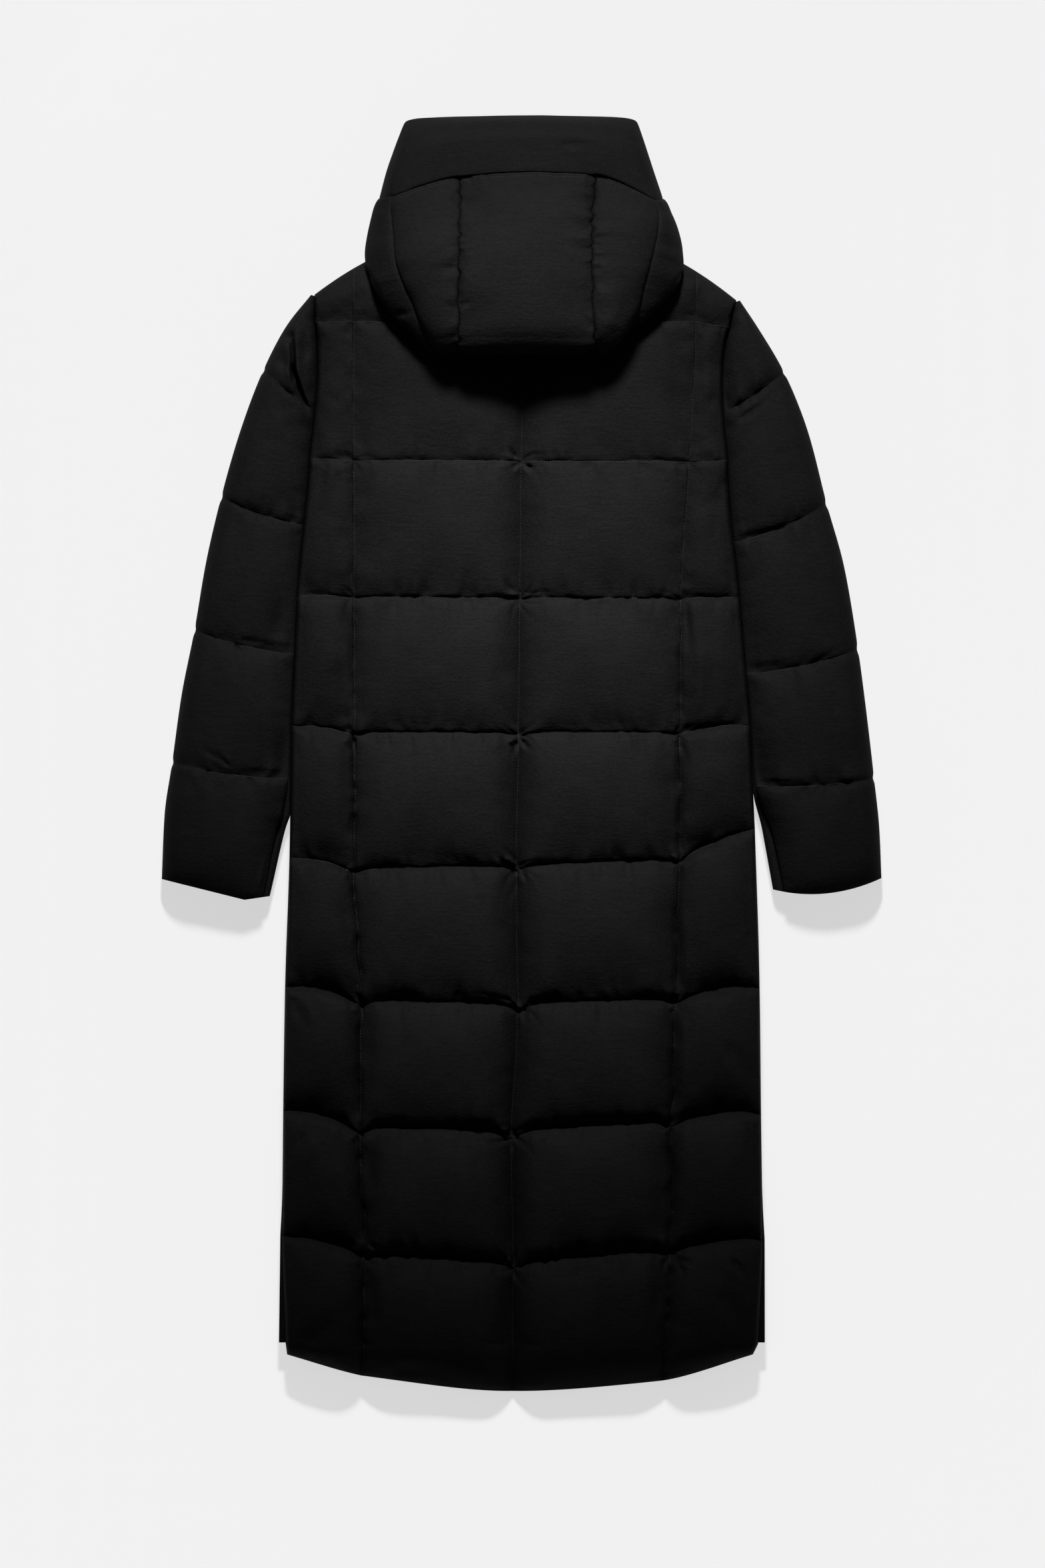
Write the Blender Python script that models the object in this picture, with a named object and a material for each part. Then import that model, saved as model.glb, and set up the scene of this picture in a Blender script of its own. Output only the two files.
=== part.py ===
"""A long hooded puffer coat, laid flat on its front with its back up.

Sizes are in millimetres and are turned into metres where the meshes are made. +X is to the right as the
coat is looked down on, +Y points from the hem to the hood and +Z is up. The coat lies on z = 0, and the
origin is under the middle of its bounding box.

Each cut piece is a padded wall between two nets of points: a plain inner net and an outer net that
carries the quilting. The fronts lie on the floor, the back lies on the fronts, and each sleeve is an upper
piece that rolls over its outer fold onto an under piece. The hood hangs over the upper back: its hidden
folded layers are one rounded solid, and the panels that show are walls made from that solid's points.
"""

import math
from collections import namedtuple

import bmesh
import bpy
import numpy as np

MM = 0.001

# Heights and thicknesses
SEAM_GAP = 0.3  # between pieces that are sewn together or lie on each other
SIDE_SEAM_HEIGHT = 24.0  # the fronts lie under the side seams and the back over them
STITCHED_WALL = 3.8  # the padded wall where it is stitched flat
RIM_LIFT = 19.0  # how far the underside of a front curls up to its seam
RIM_WIDTH = 20.0  # over this distance

# Quilting of the back
EDGE_ROUND = 34.0  # the back rounds down to a side seam over this distance
UPRIGHT_ROUND = 46.0  # and down to an upright row of stitches over this one
UPRIGHT_DEPTH = 0.5  # as a share of the chamber's puff
SAG_WIDTH = 15.0  # half the width of the dip where two rows of stitches cross
ARMHOLE_HOLLOW = {"left": 4.0, "right": 7.0}  # how far the armhole curves into the back
HEM_DROP = 0.55  # the hem's fall to the floor past the fronts, as a share of its overhang

# Shoulders and neck
NECK_MIDDLE = 2.5
NECK_HALF_WIDTH = 90.0
NECK_POINT_Y = 542.0
NECK_SCOOP = 12.0
SHOULDER_BEND = 1.7  # 1 is a straight shoulder, more is a rounded one
SHOULDER_TIP = {"left": (-217.0, 484.0), "right": (226.0, 478.0)}

# Fronts
FRONT_HEM_Y = -617.0
PLACKET_HALF_WIDTH = 30.0
VENT_FLARE = 7.0  # how far the fronts stand out past the back at the hem
VENT_FLARE_START_Y = -440.0
VENT_FLARE_LENGTH = 177.0

# Sleeves
SLEEVE_SEAM_HEIGHT = 22.0
SLEEVE_CLEARANCE = 0.6  # between a sleeve and the side of the body, at the armhole seam
SLEEVE_FOLD = 22.0  # the upper sleeve rolls over the outer fold across this width
SLEEVE_FOLD_HEIGHT = 14.0  # where the fold stands out furthest
SLEEVE_TURN_UNDER = 9.0  # the floor edge of the upper sleeve, in from the fold
SLEEVE_JOINT = 17.0  # the upper sleeve ends here on the floor and the under sleeve begins
SLEEVE_FULL_WIDTH = 80.0  # a narrower section has its fold scaled down
SLEEVE_SEAM_ROUND = 32.0  # the upper sleeve rounds down to its inner seam over this distance
SLEEVE_ACROSS = (0.05, 0.14, 0.28, 0.5, 0.75, 1)  # places between the inner seam and the outer fold
SLEEVE_FOLD_ANGLES = (65, 40, 18)  # degrees round the fold
SLEEVE_FOLD_LOW = 5.0  # a height on the lower half of the fold
UNDER_SLEEVE_EDGE = ((1, 21.5), (1 / 3, 19), (0, 13), (1 / 3, 4))  # share of the strip's width, height
CUFF_FULLNESS = 0.35  # a sleeve keeps this share of its puff at the cuff

# Hood
HOOD_CLEARANCE = 1.0  # round the shoulders
HOOD_WALL = 3.6
HOOD_EDGE_WALL = 0.4  # the share of the wall that is left at the turned-under edges
HOOD_LAYER_GAP = 0.4  # between the panels and the hidden layers under them
HOOD_TUCK = 6.0  # how far the hood's edges turn under
EDGE_HEIGHT = 0.6  # of the turned-under edges above what they lie on
CORNER_SHARE = 0.35  # how the turned-under edges share out the room at a corner
HOOD_PUFF = {"centre": 10.0, "side": 9.0, "band": 5.0, "brim": 2.0}
BRIM_LIP = 4.5  # the brim's lower edge stands this far above the panels
PANEL_ROUND = 1.6  # how many rows a hood panel takes to round down to its lower edge
PANEL_SEAM_PLACE = 0.12  # a panel isn't quite flat at the seam under the brim, by this much of a row
BRIM_ROUND = 1.2  # how many rows the brim takes to round down to its edges
HOOD_ROOM_LOW_Y = 380.0  # below the hood

SHELL_COLOUR = (0.012, 0.012, 0.013, 1.0)
SHELL_ROUGHNESS = 0.55

# The rows of quilting on the back, shoulder to hem. A place is (x, y). puff is how high the chamber under
# the row stands, and sag how far the row drops where an upright row of stitches crosses it.
BackLine = namedtuple("BackLine", "name left_edge left_seam middle right_seam right_edge puff sag")
BACK_LINES = (
    BackLine("shoulder", (-217, 484), (-177, 507), (2, 530), (184, 502), (226, 478), 24, 0),
    BackLine("yoke", (-217.5, 454.5), (-177, 454.5), (2, 454.5), (183, 454.5), (219.5, 448.5), 27, 0),
    BackLine("blade", (-222.5, 311), (-177, 308.5), (0, 307.5), (176, 307), (217, 309), 30, 1),
    BackLine("chest", (-235, 167), (-176.5, 165), (-1.5, 163.5), (167, 163), (229, 165), 31, 2),
    BackLine("waist", (-241, 31), (-176.5, 21.5), (-3, 21.5), (166.5, 21.5), (240, 32), 32, 3),
    BackLine("hip", (-243.5, -108), (-176.5, -122), (-5, -119.5), (164.5, -112), (245.5, -77), 33, 4),
    BackLine("seat", (-248, -242.5), (-169.5, -262), (-3.5, -266.5), (161, -260.5), (250.5, -244), 33, 6),
    BackLine("thigh", (-250, -373), (-171, -396), (-10.5, -401), (157.5, -390), (252, -376.5), 33, 7),
    BackLine("knee", (-251, -504), (-165, -528), (-8.5, -538), (156, -523.5), (253.5, -508.5), 28, 6),
    BackLine("front_hem", (-247.5, -618), (-167, -618), (-9, -618), (151, -618), (249, -618), 28, 0),
    BackLine("hem", (-246, -629), (-169, -650), (-9, -666.5), (148, -655), (243.5, -629), 0, 0),
)
LAST_CHAMBER = 8  # from the knee row to the hem, with the front hem's level as a guide inside it
FRONT_HEM_PLACE = 0.78  # where that level lies in the last chamber
HEM_FULLNESS = 0.3  # the last chamber keeps this share of its puff at the hem

# The sections of a sleeve, shoulder to cuff, two to a chamber. outer is the (x, y) of the outer fold,
# inner_y the height of the inner edge, gap its distance from the body, strip the width of the under
# sleeve that shows beside it, puff the height of the chamber and bow how far the row curves to the cuff.
SleeveSection = namedtuple("SleeveSection", "name outer inner_y gap strip puff bow")
SLEEVE_SECTIONS = {
    "left": (
        SleeveSection("head", (-221, 481.5), 473, 0.6, 0.6, 12, 0),
        SleeveSection("cap", (-247, 451), 429.5, 0.6, 0.8, 20, 1),
        SleeveSection("upper_row", (-271.5, 404), 361.5, 0.6, 1.2, 24, 2),
        SleeveSection("upper_arm", (-295, 342), 289.5, 0.6, 1.6, 25, 3),
        SleeveSection("arm_row", (-315.5, 271), 241, 0.6, 2, 26, 4),
        SleeveSection("above_elbow", (-331.5, 202), 177.5, 0.6, 2, 26, 4),
        SleeveSection("elbow_row", (-343.5, 131.5), 105.5, 0.6, 3, 26, 4),
        SleeveSection("forearm", (-357, 63.5), 37.5, 0.8, 4, 26, 4),
        SleeveSection("forearm_row", (-367, -8), -25, 1.2, 6, 25, 4),
        SleeveSection("above_cuff", (-375, -64), -78, 5, 9, 23, 6),
        SleeveSection("cuff", (-377.8, -130), -148, 19.5, 7, 20, 11),
    ),
    "right": (
        SleeveSection("head", (229.5, 475.5), 467, 0.6, 0.6, 12, 0),
        SleeveSection("cap", (250.5, 447), 422.5, 0.6, 0.8, 20, 1),
        SleeveSection("upper_row", (277, 401.5), 359, 0.6, 1.2, 24, 2),
        SleeveSection("upper_arm", (301, 342), 291, 0.6, 1.6, 25, 3),
        SleeveSection("arm_row", (321.5, 263.5), 222.5, 0.6, 2, 26, 4),
        SleeveSection("above_elbow", (339.5, 198.5), 156.5, 0.6, 2, 26, 4),
        SleeveSection("elbow_row", (354.3, 111), 84.5, 0.6, 3, 26, 4),
        SleeveSection("forearm", (363.5, 41), 23.5, 0.8, 4, 26, 4),
        SleeveSection("forearm_row", (371, -24), -32.5, 1.2, 6, 25, 4),
        SleeveSection("above_cuff", (376.6, -78), -77, 7.5, 10, 23, 5),
        SleeveSection("cuff", (378.7, -129), -141, 17, 12, 20, 10),
    ),
}

# The hood's outside, from its lower edge over the back up to the edge of the brim. A place is (x, y, z),
# with z above the surface that the hood rests on there.
HoodRow = namedtuple("HoodRow", "name left_edge left_band left_seam middle right_seam right_band right_edge")
HOOD_ROWS = (
    HoodRow("lower_edge", (-96, 429, 11), (-84, 421, 14), (-65, 421, 18), (3, 424, 20), (79, 420, 18),
            (112, 447, 14), (123, 454.5, 11)),
    HoodRow("underside", (-116, 449, 12), (-98, 441, 28), (-66, 445, 51), (3, 447, 56), (77, 444, 51),
            (122, 467, 28), (139, 469, 12)),
    HoodRow("belly", (-137, 466, 12), (-110, 468, 40), (-66, 475, 60), (3, 477, 65), (75, 475, 60),
            (128, 492, 40), (156, 486, 12)),
    HoodRow("crest", (-153, 491, 12), (-124, 498, 44), (-65, 510, 60), (4, 512, 65), (74, 510, 60),
            (134, 512, 44), (168, 503, 12)),
    HoodRow("shoulder", (-162.4, 519, 38), (-132, 522, 97), (-64.5, 545, 109), (5, 547, 113),
            (74, 545, 109), (141, 540, 96), (167.5, 533, 38)),
    HoodRow("nape", (-159, 550, 37), (-133, 554, 90), (-63.7, 578, 98), (6, 580, 102), (75, 578, 98),
            (143, 561, 90), (157.5, 561, 37)),
    HoodRow("arc", (-148.5, 584, 36), (-137, 586, 78), (-63.7, 606, 86), (8, 611, 88), (78, 608, 86),
            (141, 580, 78), (149, 583, 36)),
    HoodRow("brim", (-140.5, 614, 36), (-128, 615, 74), (-63, 633, 81), (5, 637, 82), (76, 634, 81),
            (127, 612, 74), (139.5, 611, 36)),
    HoodRow("brim_top", (-131, 641, 34), (-117, 642, 68), (-61, 654, 73), (3, 656, 74), (66, 654, 73),
            (116, 643, 68), (129.5, 641, 34)),
    HoodRow("brim_edge", (-121, 664.5, 28), (-109, 668.5, 34), (-60, 670.5, 36), (3, 671.3, 36),
            (60, 670.5, 36), (109, 669, 34), (120.5, 665, 28)),
)
HOOD_ROWS_OVER_THE_BACK = 4


def eased(count):
    """Places from 0 up to 1 without it, closer together at both ends."""
    return [(1 - math.cos(math.pi * k / count)) / 2 for k in range(count)]


def even(count):
    """Places from 0 up to 1 without it, evenly apart."""
    return [k / count for k in range(count)]


def along(cells):
    """The places of every cell, counted on from cell to cell, with the last cell's end."""
    return [number + place for number, places in enumerate(cells) for place in places] + [len(cells)]


def rounded(share):
    """A quarter-round rise from 0 at share 0 to 1 at share 1 and beyond."""
    return math.sqrt(1 - (1 - min(max(share, 0.0), 1.0)) ** 2)


def eased_step(share):
    """A smooth step from 0 at share 0 to 1 at share 1."""
    share = min(max(share, 0.0), 1.0)
    return share * share * (3 - 2 * share)


def shared_slope(one, other):
    """The slope between two steps: none at a turn, and never steep enough to overshoot."""
    same_way = one * other > 0
    return np.where(same_way, 2 * one * other / np.where(same_way, one + other, 1), 0)


def spline(rows, place):
    """The smooth curve through evenly numbered rows of numbers, read at a fractional place."""
    rows = np.asarray(rows, float)
    last = len(rows) - 1
    start = min(int(place), last - 1)
    part = place - start
    here, there = rows[start], rows[start + 1]
    step = there - here
    step_before = here - rows[start - 1] if start > 0 else step
    step_after = rows[start + 2] - there if start + 2 <= last else step
    leaving = shared_slope(step_before, step)
    arriving = shared_slope(step, step_after)
    bend = 3 * step - 2 * leaving - arriving
    turn = leaving + arriving - 2 * step
    return here + part * (leaving + part * (bend + part * turn))


def shoulder_y(x):
    """The shoulder seams, falling from the neck points, with the neck scooped out between them."""
    side = "left" if x < NECK_MIDDLE else "right"
    tip_x, tip_y = SHOULDER_TIP[side]
    run = abs(x - NECK_MIDDLE) - NECK_HALF_WIDTH
    if run < 0:
        across = abs(x - NECK_MIDDLE) / NECK_HALF_WIDTH
        return NECK_POINT_Y - NECK_SCOOP * (1 - across**2)
    full_run = abs(tip_x - NECK_MIDDLE) - NECK_HALF_WIDTH
    return NECK_POINT_Y - (NECK_POINT_Y - tip_y) * (run / full_run) ** SHOULDER_BEND


# ---- The back --------------------------------------------------------------------------------------

BACK_PLACES = ("left_edge", "left_seam", "middle", "right_seam", "right_edge")
UPRIGHTS = (1, 2, 3)  # the two long seams and the row of stitches down the middle
SIDE_CELL = [0, 0.04, 0.12, 0.25, 0.45, 0.7, 0.9]
BACK_COLUMNS = along([SIDE_CELL, eased(8), eased(8), [0] + [1 - share for share in SIDE_CELL[:0:-1]]])
BACK_ROWS = along([eased(7)] * LAST_CHAMBER + [[0, 0.08, 0.25, 0.5, 0.75], [0, 0.35, 0.65, 0.88]])


def back_x(u, v):
    """x of a place on the back: u counts the uprights from the left and v the rows from the shoulder."""
    across = [spline([getattr(line, place)[0] for line in BACK_LINES], v) for place in BACK_PLACES]
    hollow = math.sin(math.pi * (v - 1) ** 0.7) if 1 < v < 2 else 0.0
    across[0] += ARMHOLE_HOLLOW["left"] * hollow
    across[-1] -= ARMHOLE_HOLLOW["right"] * hollow
    return float(np.interp(u, range(len(across)), across))


def row_y(number, u, x):
    """y of a row of quilting: it drops where an upright crosses it."""
    line = BACK_LINES[number]
    heights = [getattr(line, place)[1] for place in BACK_PLACES]
    if number == 0:
        return shoulder_y(x)
    if line.name == "hem":
        return float(spline(heights, u))
    straight = float(np.interp(u, range(len(heights)), heights))
    if not line.sag:
        return straight
    nearest = min(abs(x - back_x(place, number)) for place in range(len(heights)))
    return straight + line.sag * (1 - math.exp(-((nearest / SAG_WIDTH) ** 2)))


def back_place(u, v):
    """x and y of a place on the back."""
    number = min(int(v), len(BACK_LINES) - 2)
    part = v - number
    x = back_x(u, v)
    return x, (1 - part) * row_y(number, u, x) + part * row_y(number + 1, u, x)


def chamber_height(u, v, x):
    """How far the quilting stands above its stitches."""
    edge = min(abs(x - back_x(0, v)), abs(x - back_x(4, v)))
    upright = min(abs(x - back_x(place, v)) for place in UPRIGHTS)
    across = rounded(edge / EDGE_ROUND) * (1 - UPRIGHT_DEPTH * (1 - rounded(upright / UPRIGHT_ROUND)))
    if v < LAST_CHAMBER:
        number, part = int(v), v - int(v)
        lengthways = math.sqrt(4 * part * (1 - part))
    else:
        number = LAST_CHAMBER
        part = v - LAST_CHAMBER
        place = FRONT_HEM_PLACE * part if part < 1 else FRONT_HEM_PLACE + (1 - FRONT_HEM_PLACE) * (part - 1)
        lengthways = math.sqrt(1 - (1 - HEM_FULLNESS**2) * (2 * place - 1) ** 2)
        if place < 0.5:
            lengthways = math.sqrt(4 * place * (1 - place))
    return BACK_LINES[number].puff * lengthways * across


def back_nets():
    """The back's inner and outer nets, from the left side seam to the right one."""
    inner = np.zeros((len(BACK_ROWS), len(BACK_COLUMNS), 3))
    outer = np.zeros_like(inner)
    lying = SIDE_SEAM_HEIGHT + SEAM_GAP
    for r, v in enumerate(BACK_ROWS):
        for c, u in enumerate(BACK_COLUMNS):
            x, y = back_place(u, v)
            past_front_hem = v - (LAST_CHAMBER + 1)
            overhang = BACK_LINES[LAST_CHAMBER + 1].middle[1] - row_y(len(BACK_LINES) - 1, u, x)
            fall = min(lying, HEM_DROP * overhang) * eased_step(past_front_hem)
            inner[r, c] = x, y, lying - fall
            outer[r, c] = x, y, lying - fall + STITCHED_WALL + chamber_height(u, v, x)
    return inner, outer


def body_edges(outer):
    """For each side, y and x of the back's edge, from the hem up."""
    return {"left": outer[::-1, 0, 1::-1].T, "right": outer[::-1, -1, 1::-1].T}


# ---- The fronts ------------------------------------------------------------------------------------


def rim_places(length):
    """Shares of a length that lie close together near its start."""
    return [offset / length for offset in (0, 2, 6, 12)] + [RIM_WIDTH / length]


def front_edge_x(side, y, edges):
    """The side edge of a front, which stands out past the back at the vent."""
    sign = -1 if side == "left" else 1
    knee = BACK_LINES[LAST_CHAMBER]
    knee_x, knee_y = knee.left_edge if side == "left" else knee.right_edge
    flare = VENT_FLARE * eased_step((VENT_FLARE_START_Y - y) / VENT_FLARE_LENGTH)
    if y < knee_y:
        past = (knee_y - y) / (knee_y - FRONT_HEM_Y)
        hem_x = float(np.interp(FRONT_HEM_Y, *edges[side])) + sign * VENT_FLARE
        knee_flare = VENT_FLARE * eased_step((VENT_FLARE_START_Y - knee_y) / VENT_FLARE_LENGTH)
        return (1 - past) * (knee_x + sign * knee_flare) + past * hem_x
    return float(np.interp(y, *edges[side])) + sign * flare


def front_nets(side, edges):
    """A front's inner and outer nets: a flat top, and an underside that curls up to its seams."""
    sign = -1 if side == "left" else 1
    tip_x, tip_y = SHOULDER_TIP[side]
    width = abs(tip_x) - PLACKET_HALF_WIDTH
    length = tip_y - FRONT_HEM_Y
    columns = rim_places(width) + [0.35, 0.65, 0.82, 1]
    ends = rim_places(length)
    armhole = [0.03, 0.05, 0.07, 0.09, 0.11, 0.135, 0.16, 0.2, 0.25]
    rows = ends + armhole + [k / 10 for k in range(3, 10)] + [1 - end for end in ends[::-1]]
    inner = np.zeros((len(rows), len(columns), 3))
    outer = np.zeros_like(inner)
    for r, part in enumerate(rows):
        edge_y = (1 - part) * tip_y + part * FRONT_HEM_Y
        edge_x = front_edge_x(side, edge_y, edges)
        for c, share in enumerate(columns):
            x = (1 - share) * edge_x + share * sign * PLACKET_HALF_WIDTH
            top_y = shoulder_y(x) if share else tip_y
            y = (1 - part) * top_y + part * FRONT_HEM_Y
            to_edge = min(share * width, part * length, (1 - part) * length)
            inner[r, c] = x, y, SIDE_SEAM_HEIGHT
            outer[r, c] = x, y, RIM_LIFT * (1 - rounded(to_edge / RIM_WIDTH))
    return inner, outer


def placket_nets():
    """The strip between the fronts: it ends at the neck and at the fronts' hem."""
    half = PLACKET_HALF_WIDTH - SEAM_GAP
    length = NECK_POINT_Y - NECK_SCOOP - FRONT_HEM_Y
    ends = rim_places(length)
    rows = ends + [1 - end for end in ends[::-1]]
    columns = (-half, NECK_MIDDLE, half)
    inner = np.zeros((len(rows), len(columns), 3))
    outer = np.zeros_like(inner)
    for r, part in enumerate(rows):
        for c, x in enumerate(columns):
            y = (1 - part) * shoulder_y(x) + part * FRONT_HEM_Y
            to_edge = min(part * length, (1 - part) * length)
            inner[r, c] = x, y, SIDE_SEAM_HEIGHT
            outer[r, c] = x, y, RIM_LIFT * (1 - rounded(to_edge / RIM_WIDTH))
    return inner, outer


# ---- The sleeves -----------------------------------------------------------------------------------

SLEEVE_CHAMBERS = 5
SLEEVE_ROWS = [2 * place for place in along([eased(6)] * SLEEVE_CHAMBERS)]


def sleeve_section(side, v, edges):
    """The ends of a section of the sleeve, with its strip, its puff and its bow."""
    sections = SLEEVE_SECTIONS[side]
    sign = -1 if side == "left" else 1
    outer = spline([section.outer for section in sections], v)
    inner_y, gap, strip, puff, bow = spline(
        [(part.inner_y, part.gap, part.strip, part.puff, part.bow) for part in sections], v
    )
    inner_x = float(np.interp(inner_y, *edges[side])) + sign * max(gap, SLEEVE_CLEARANCE)
    return np.array((inner_x, inner_y)), outer, max(strip, SLEEVE_CLEARANCE), puff, max(bow, 0.0)


def sleeve_fullness(v):
    """How full a chamber is along the sleeve: pinched at its rows, half open at the cuff."""
    number = min(int(v / 2), SLEEVE_CHAMBERS - 1)
    part = v / 2 - number
    if number == SLEEVE_CHAMBERS - 1 and part > 0.5:
        return math.sqrt(1 - (1 - CUFF_FULLNESS**2) * (2 * part - 1) ** 4)
    return math.sqrt(4 * part * (1 - part))


def sleeve_nets(side, edges):
    """Inner and outer nets of the upper sleeve and of the under sleeve."""
    nets = {"upper": ([], []), "under": ([], [])}
    for v in SLEEVE_ROWS:
        start, end, strip, puff, bow = sleeve_section(side, v, edges)
        width = float(np.linalg.norm(end - start))
        scale = min(1.0, width / SLEEVE_FULL_WIDTH)
        top = SLEEVE_SEAM_HEIGHT + SEAM_GAP + STITCHED_WALL

        def point(offset, z):
            share = offset / width
            x, y = start + (end - start) * share
            return x, y - bow * 4 * share * (1 - share), z

        def crown(offset):
            rise = rounded((offset - strip) / (SLEEVE_SEAM_ROUND * scale))
            return top + puff * sleeve_fullness(v) * rise

        fold, turn = SLEEVE_FOLD * scale, SLEEVE_TURN_UNDER * scale
        joint = width - SLEEVE_JOINT * scale
        seam = strip + SEAM_GAP
        over = [seam] + [seam + (width - fold - seam) * share for share in SLEEVE_ACROSS]
        roll = [math.radians(angle) for angle in SLEEVE_FOLD_ANGLES]
        fold_top = crown(width - fold) - SLEEVE_FOLD_HEIGHT
        nets["upper"][1].append(
            [point(offset, crown(offset)) for offset in over]
            + [point(width - fold * (1 - math.cos(a)), SLEEVE_FOLD_HEIGHT + fold_top * math.sin(a))
               for a in roll]
            + [point(width, SLEEVE_FOLD_HEIGHT), point(width - turn / 3, SLEEVE_FOLD_LOW),
               point(width - turn, 0)]
        )
        ceiling = SLEEVE_SEAM_HEIGHT + SEAM_GAP
        nets["upper"][0].append(
            [point(offset, ceiling) for offset in over[:-1] + [joint]]
            + [point(joint, ceiling - drop) for drop in (1, 3, 6)]
            + [point(joint, SLEEVE_FOLD_HEIGHT), point(joint, SLEEVE_FOLD_LOW), point(joint, 0)]
        )
        floor_edge = joint - SEAM_GAP
        flat = [strip + 2 + (floor_edge - strip - 2) * share for share in (0.15, 0.5, 1)]
        nets["under"][1].append(
            [point(strip * share, height) for share, height in UNDER_SLEEVE_EDGE]
            + [point(strip + 1, 0)] + [point(offset, 0) for offset in flat]
        )
        nets["under"][0].append(
            [point(strip + step, SLEEVE_SEAM_HEIGHT) for step in (1, 1.25, 1.5, 1.75, 2)]
            + [point(offset, SLEEVE_SEAM_HEIGHT) for offset in flat]
        )
    return {name: (np.array(inner), np.array(outer)) for name, (inner, outer) in nets.items()}


# ---- The hood --------------------------------------------------------------------------------------

HOOD_COLUMNS = along([even(2), even(3), eased(5), eased(8)[:4], eased(8)[:4], eased(5), even(3), even(2)])
HOOD_CELL_ROWS = [even(2), even(3), even(2), even(2), even(3), even(2), even(3), even(2), even(2), even(3),
                  even(2)]
HOOD_ROW_PLACES = along(HOOD_CELL_ROWS)
ARC = 7  # the row of the seam under the brim
BRIM_EDGE = 10  # the row of the brim's edge
SMOOTHINGS = 3
FLAT_RIM = 6  # the hidden layers' underside is evened out over this many points in from its edges
HOOD_PIECES = {
    # name: first and last column place, first and last row place, puff
    "hood_band_left": (0, 2, 0, ARC, "band"),
    "hood_side_left": (2, 3, 0, ARC, "side"),
    "hood_centre": (3, 5, 0, ARC, "centre"),
    "hood_side_right": (5, 6, 0, ARC, "side"),
    "hood_band_right": (6, 8, 0, ARC, "band"),
    "hood_brim": (0, 8, ARC, BRIM_EDGE + 1, "brim"),
}


def hood_rows(rest):
    """Every row of the hood as nine places: the seven of the table, with its edges turned under."""
    rows = []
    for number, row in enumerate(HOOD_ROWS):
        base = rest if number < HOOD_ROWS_OVER_THE_BACK else 0.0
        places = [np.array(place, float) + (0, 0, base) for place in row[1:]]
        left, right = places[0].copy(), places[-1].copy()
        left += (HOOD_TUCK, 0, base + EDGE_HEIGHT - left[2])
        right += (-HOOD_TUCK, 0, base + EDGE_HEIGHT - right[2])
        rows.append([left] + places + [right])
    rows = np.array(rows)
    lower, upper = rows[0].copy(), rows[-1].copy()
    lower[:, 1] += HOOD_TUCK
    lower[:, 2] = rest + EDGE_HEIGHT
    upper[:, 1] -= HOOD_TUCK
    upper[:, 2] = EDGE_HEIGHT
    rows = np.concatenate(([lower], rows, [upper]))
    for corner in (rows, rows[::-1], rows[:, ::-1], rows[::-1, ::-1]):
        corner[0, 0, :2] = (corner[0, 0, :2] + corner[1, 1, :2]) / 2
        corner[1, 0] = corner[0, 0] + CORNER_SHARE * (corner[2, 0] - corner[0, 0])
        corner[0, 1] = corner[0, 0] + CORNER_SHARE * (corner[0, 2] - corner[0, 0])
    return rows


def smoothed(net):
    """A net of directions with quick changes between neighbours evened out."""
    for _ in range(SMOOTHINGS):
        wide = np.pad(net, ((1, 1), (1, 1), (0, 0)), mode="edge")
        around = wide[:-2, 1:-1] + wide[2:, 1:-1] + wide[1:-1, :-2] + wide[1:-1, 2:]
        net = (around + 4 * net) / 8
    return net


def hood_surface(rest):
    """The hood's outside without its quilting, and the direction and depth of its wall at each point."""
    rows = hood_rows(rest)
    net = np.array([[spline(spline(rows, v), u) for u in HOOD_COLUMNS] for v in HOOD_ROW_PLACES])
    outward = np.cross(np.gradient(net, axis=1), np.gradient(net, axis=0))
    rims = len(even(2))
    outward[..., 2] = np.maximum(outward[..., 2], 0)
    for rim in range(rims):
        outward[rim] = outward[rims]
        outward[-1 - rim] = outward[-1 - rims]
        outward[:, rim] = outward[:, rims]
        outward[:, -1 - rim] = outward[:, -1 - rims]
        outward[rim, :, 2] = outward[-1 - rim, :, 2] = 0
        outward[:, rim, 2] = outward[:, -1 - rim, 2] = 0
    outward = smoothed(outward / np.linalg.norm(outward, axis=2, keepdims=True))
    outward[(0, -1), :, 2] = 0
    outward[:, (0, -1), 2] = 0
    outward /= np.linalg.norm(outward, axis=2, keepdims=True)
    wall = np.full(net.shape[:2], HOOD_WALL)
    for rim in range(rims):
        thinned = HOOD_WALL * (HOOD_EDGE_WALL + (1 - HOOD_EDGE_WALL) * rim / rims)
        wall[rim] = wall[-1 - rim] = thinned
        wall[rims:-rims, rim] = wall[rims:-rims, -1 - rim] = thinned
    return net, outward, wall[..., None]


def hood_puff(name, u, v):
    """How far a hood panel stands above its seams."""
    first, last, low, high, kind = HOOD_PIECES[name]
    if kind == "brim":
        lip = BRIM_LIP * (1 - eased_step((v - ARC) / 2)) * rounded(min(u - 2, 6 - u))
        lengthways = rounded(min(v - ARC, BRIM_EDGE - v) / BRIM_ROUND)
        return lip + HOOD_PUFF[kind] * lengthways * rounded(min(u - 1, 7 - u))
    across = (u - first) / (last - first)
    if kind == "band":
        across = (u - 1) if first == 0 else (7 - u)
        across = min(max(across, 0.0), 1.0)
    lengthways = rounded((v - 1) / PANEL_ROUND) * rounded(high + PANEL_SEAM_PLACE - v)
    return HOOD_PUFF[kind] * math.sqrt(max(4 * across * (1 - across), 0.0)) * lengthways


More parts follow.
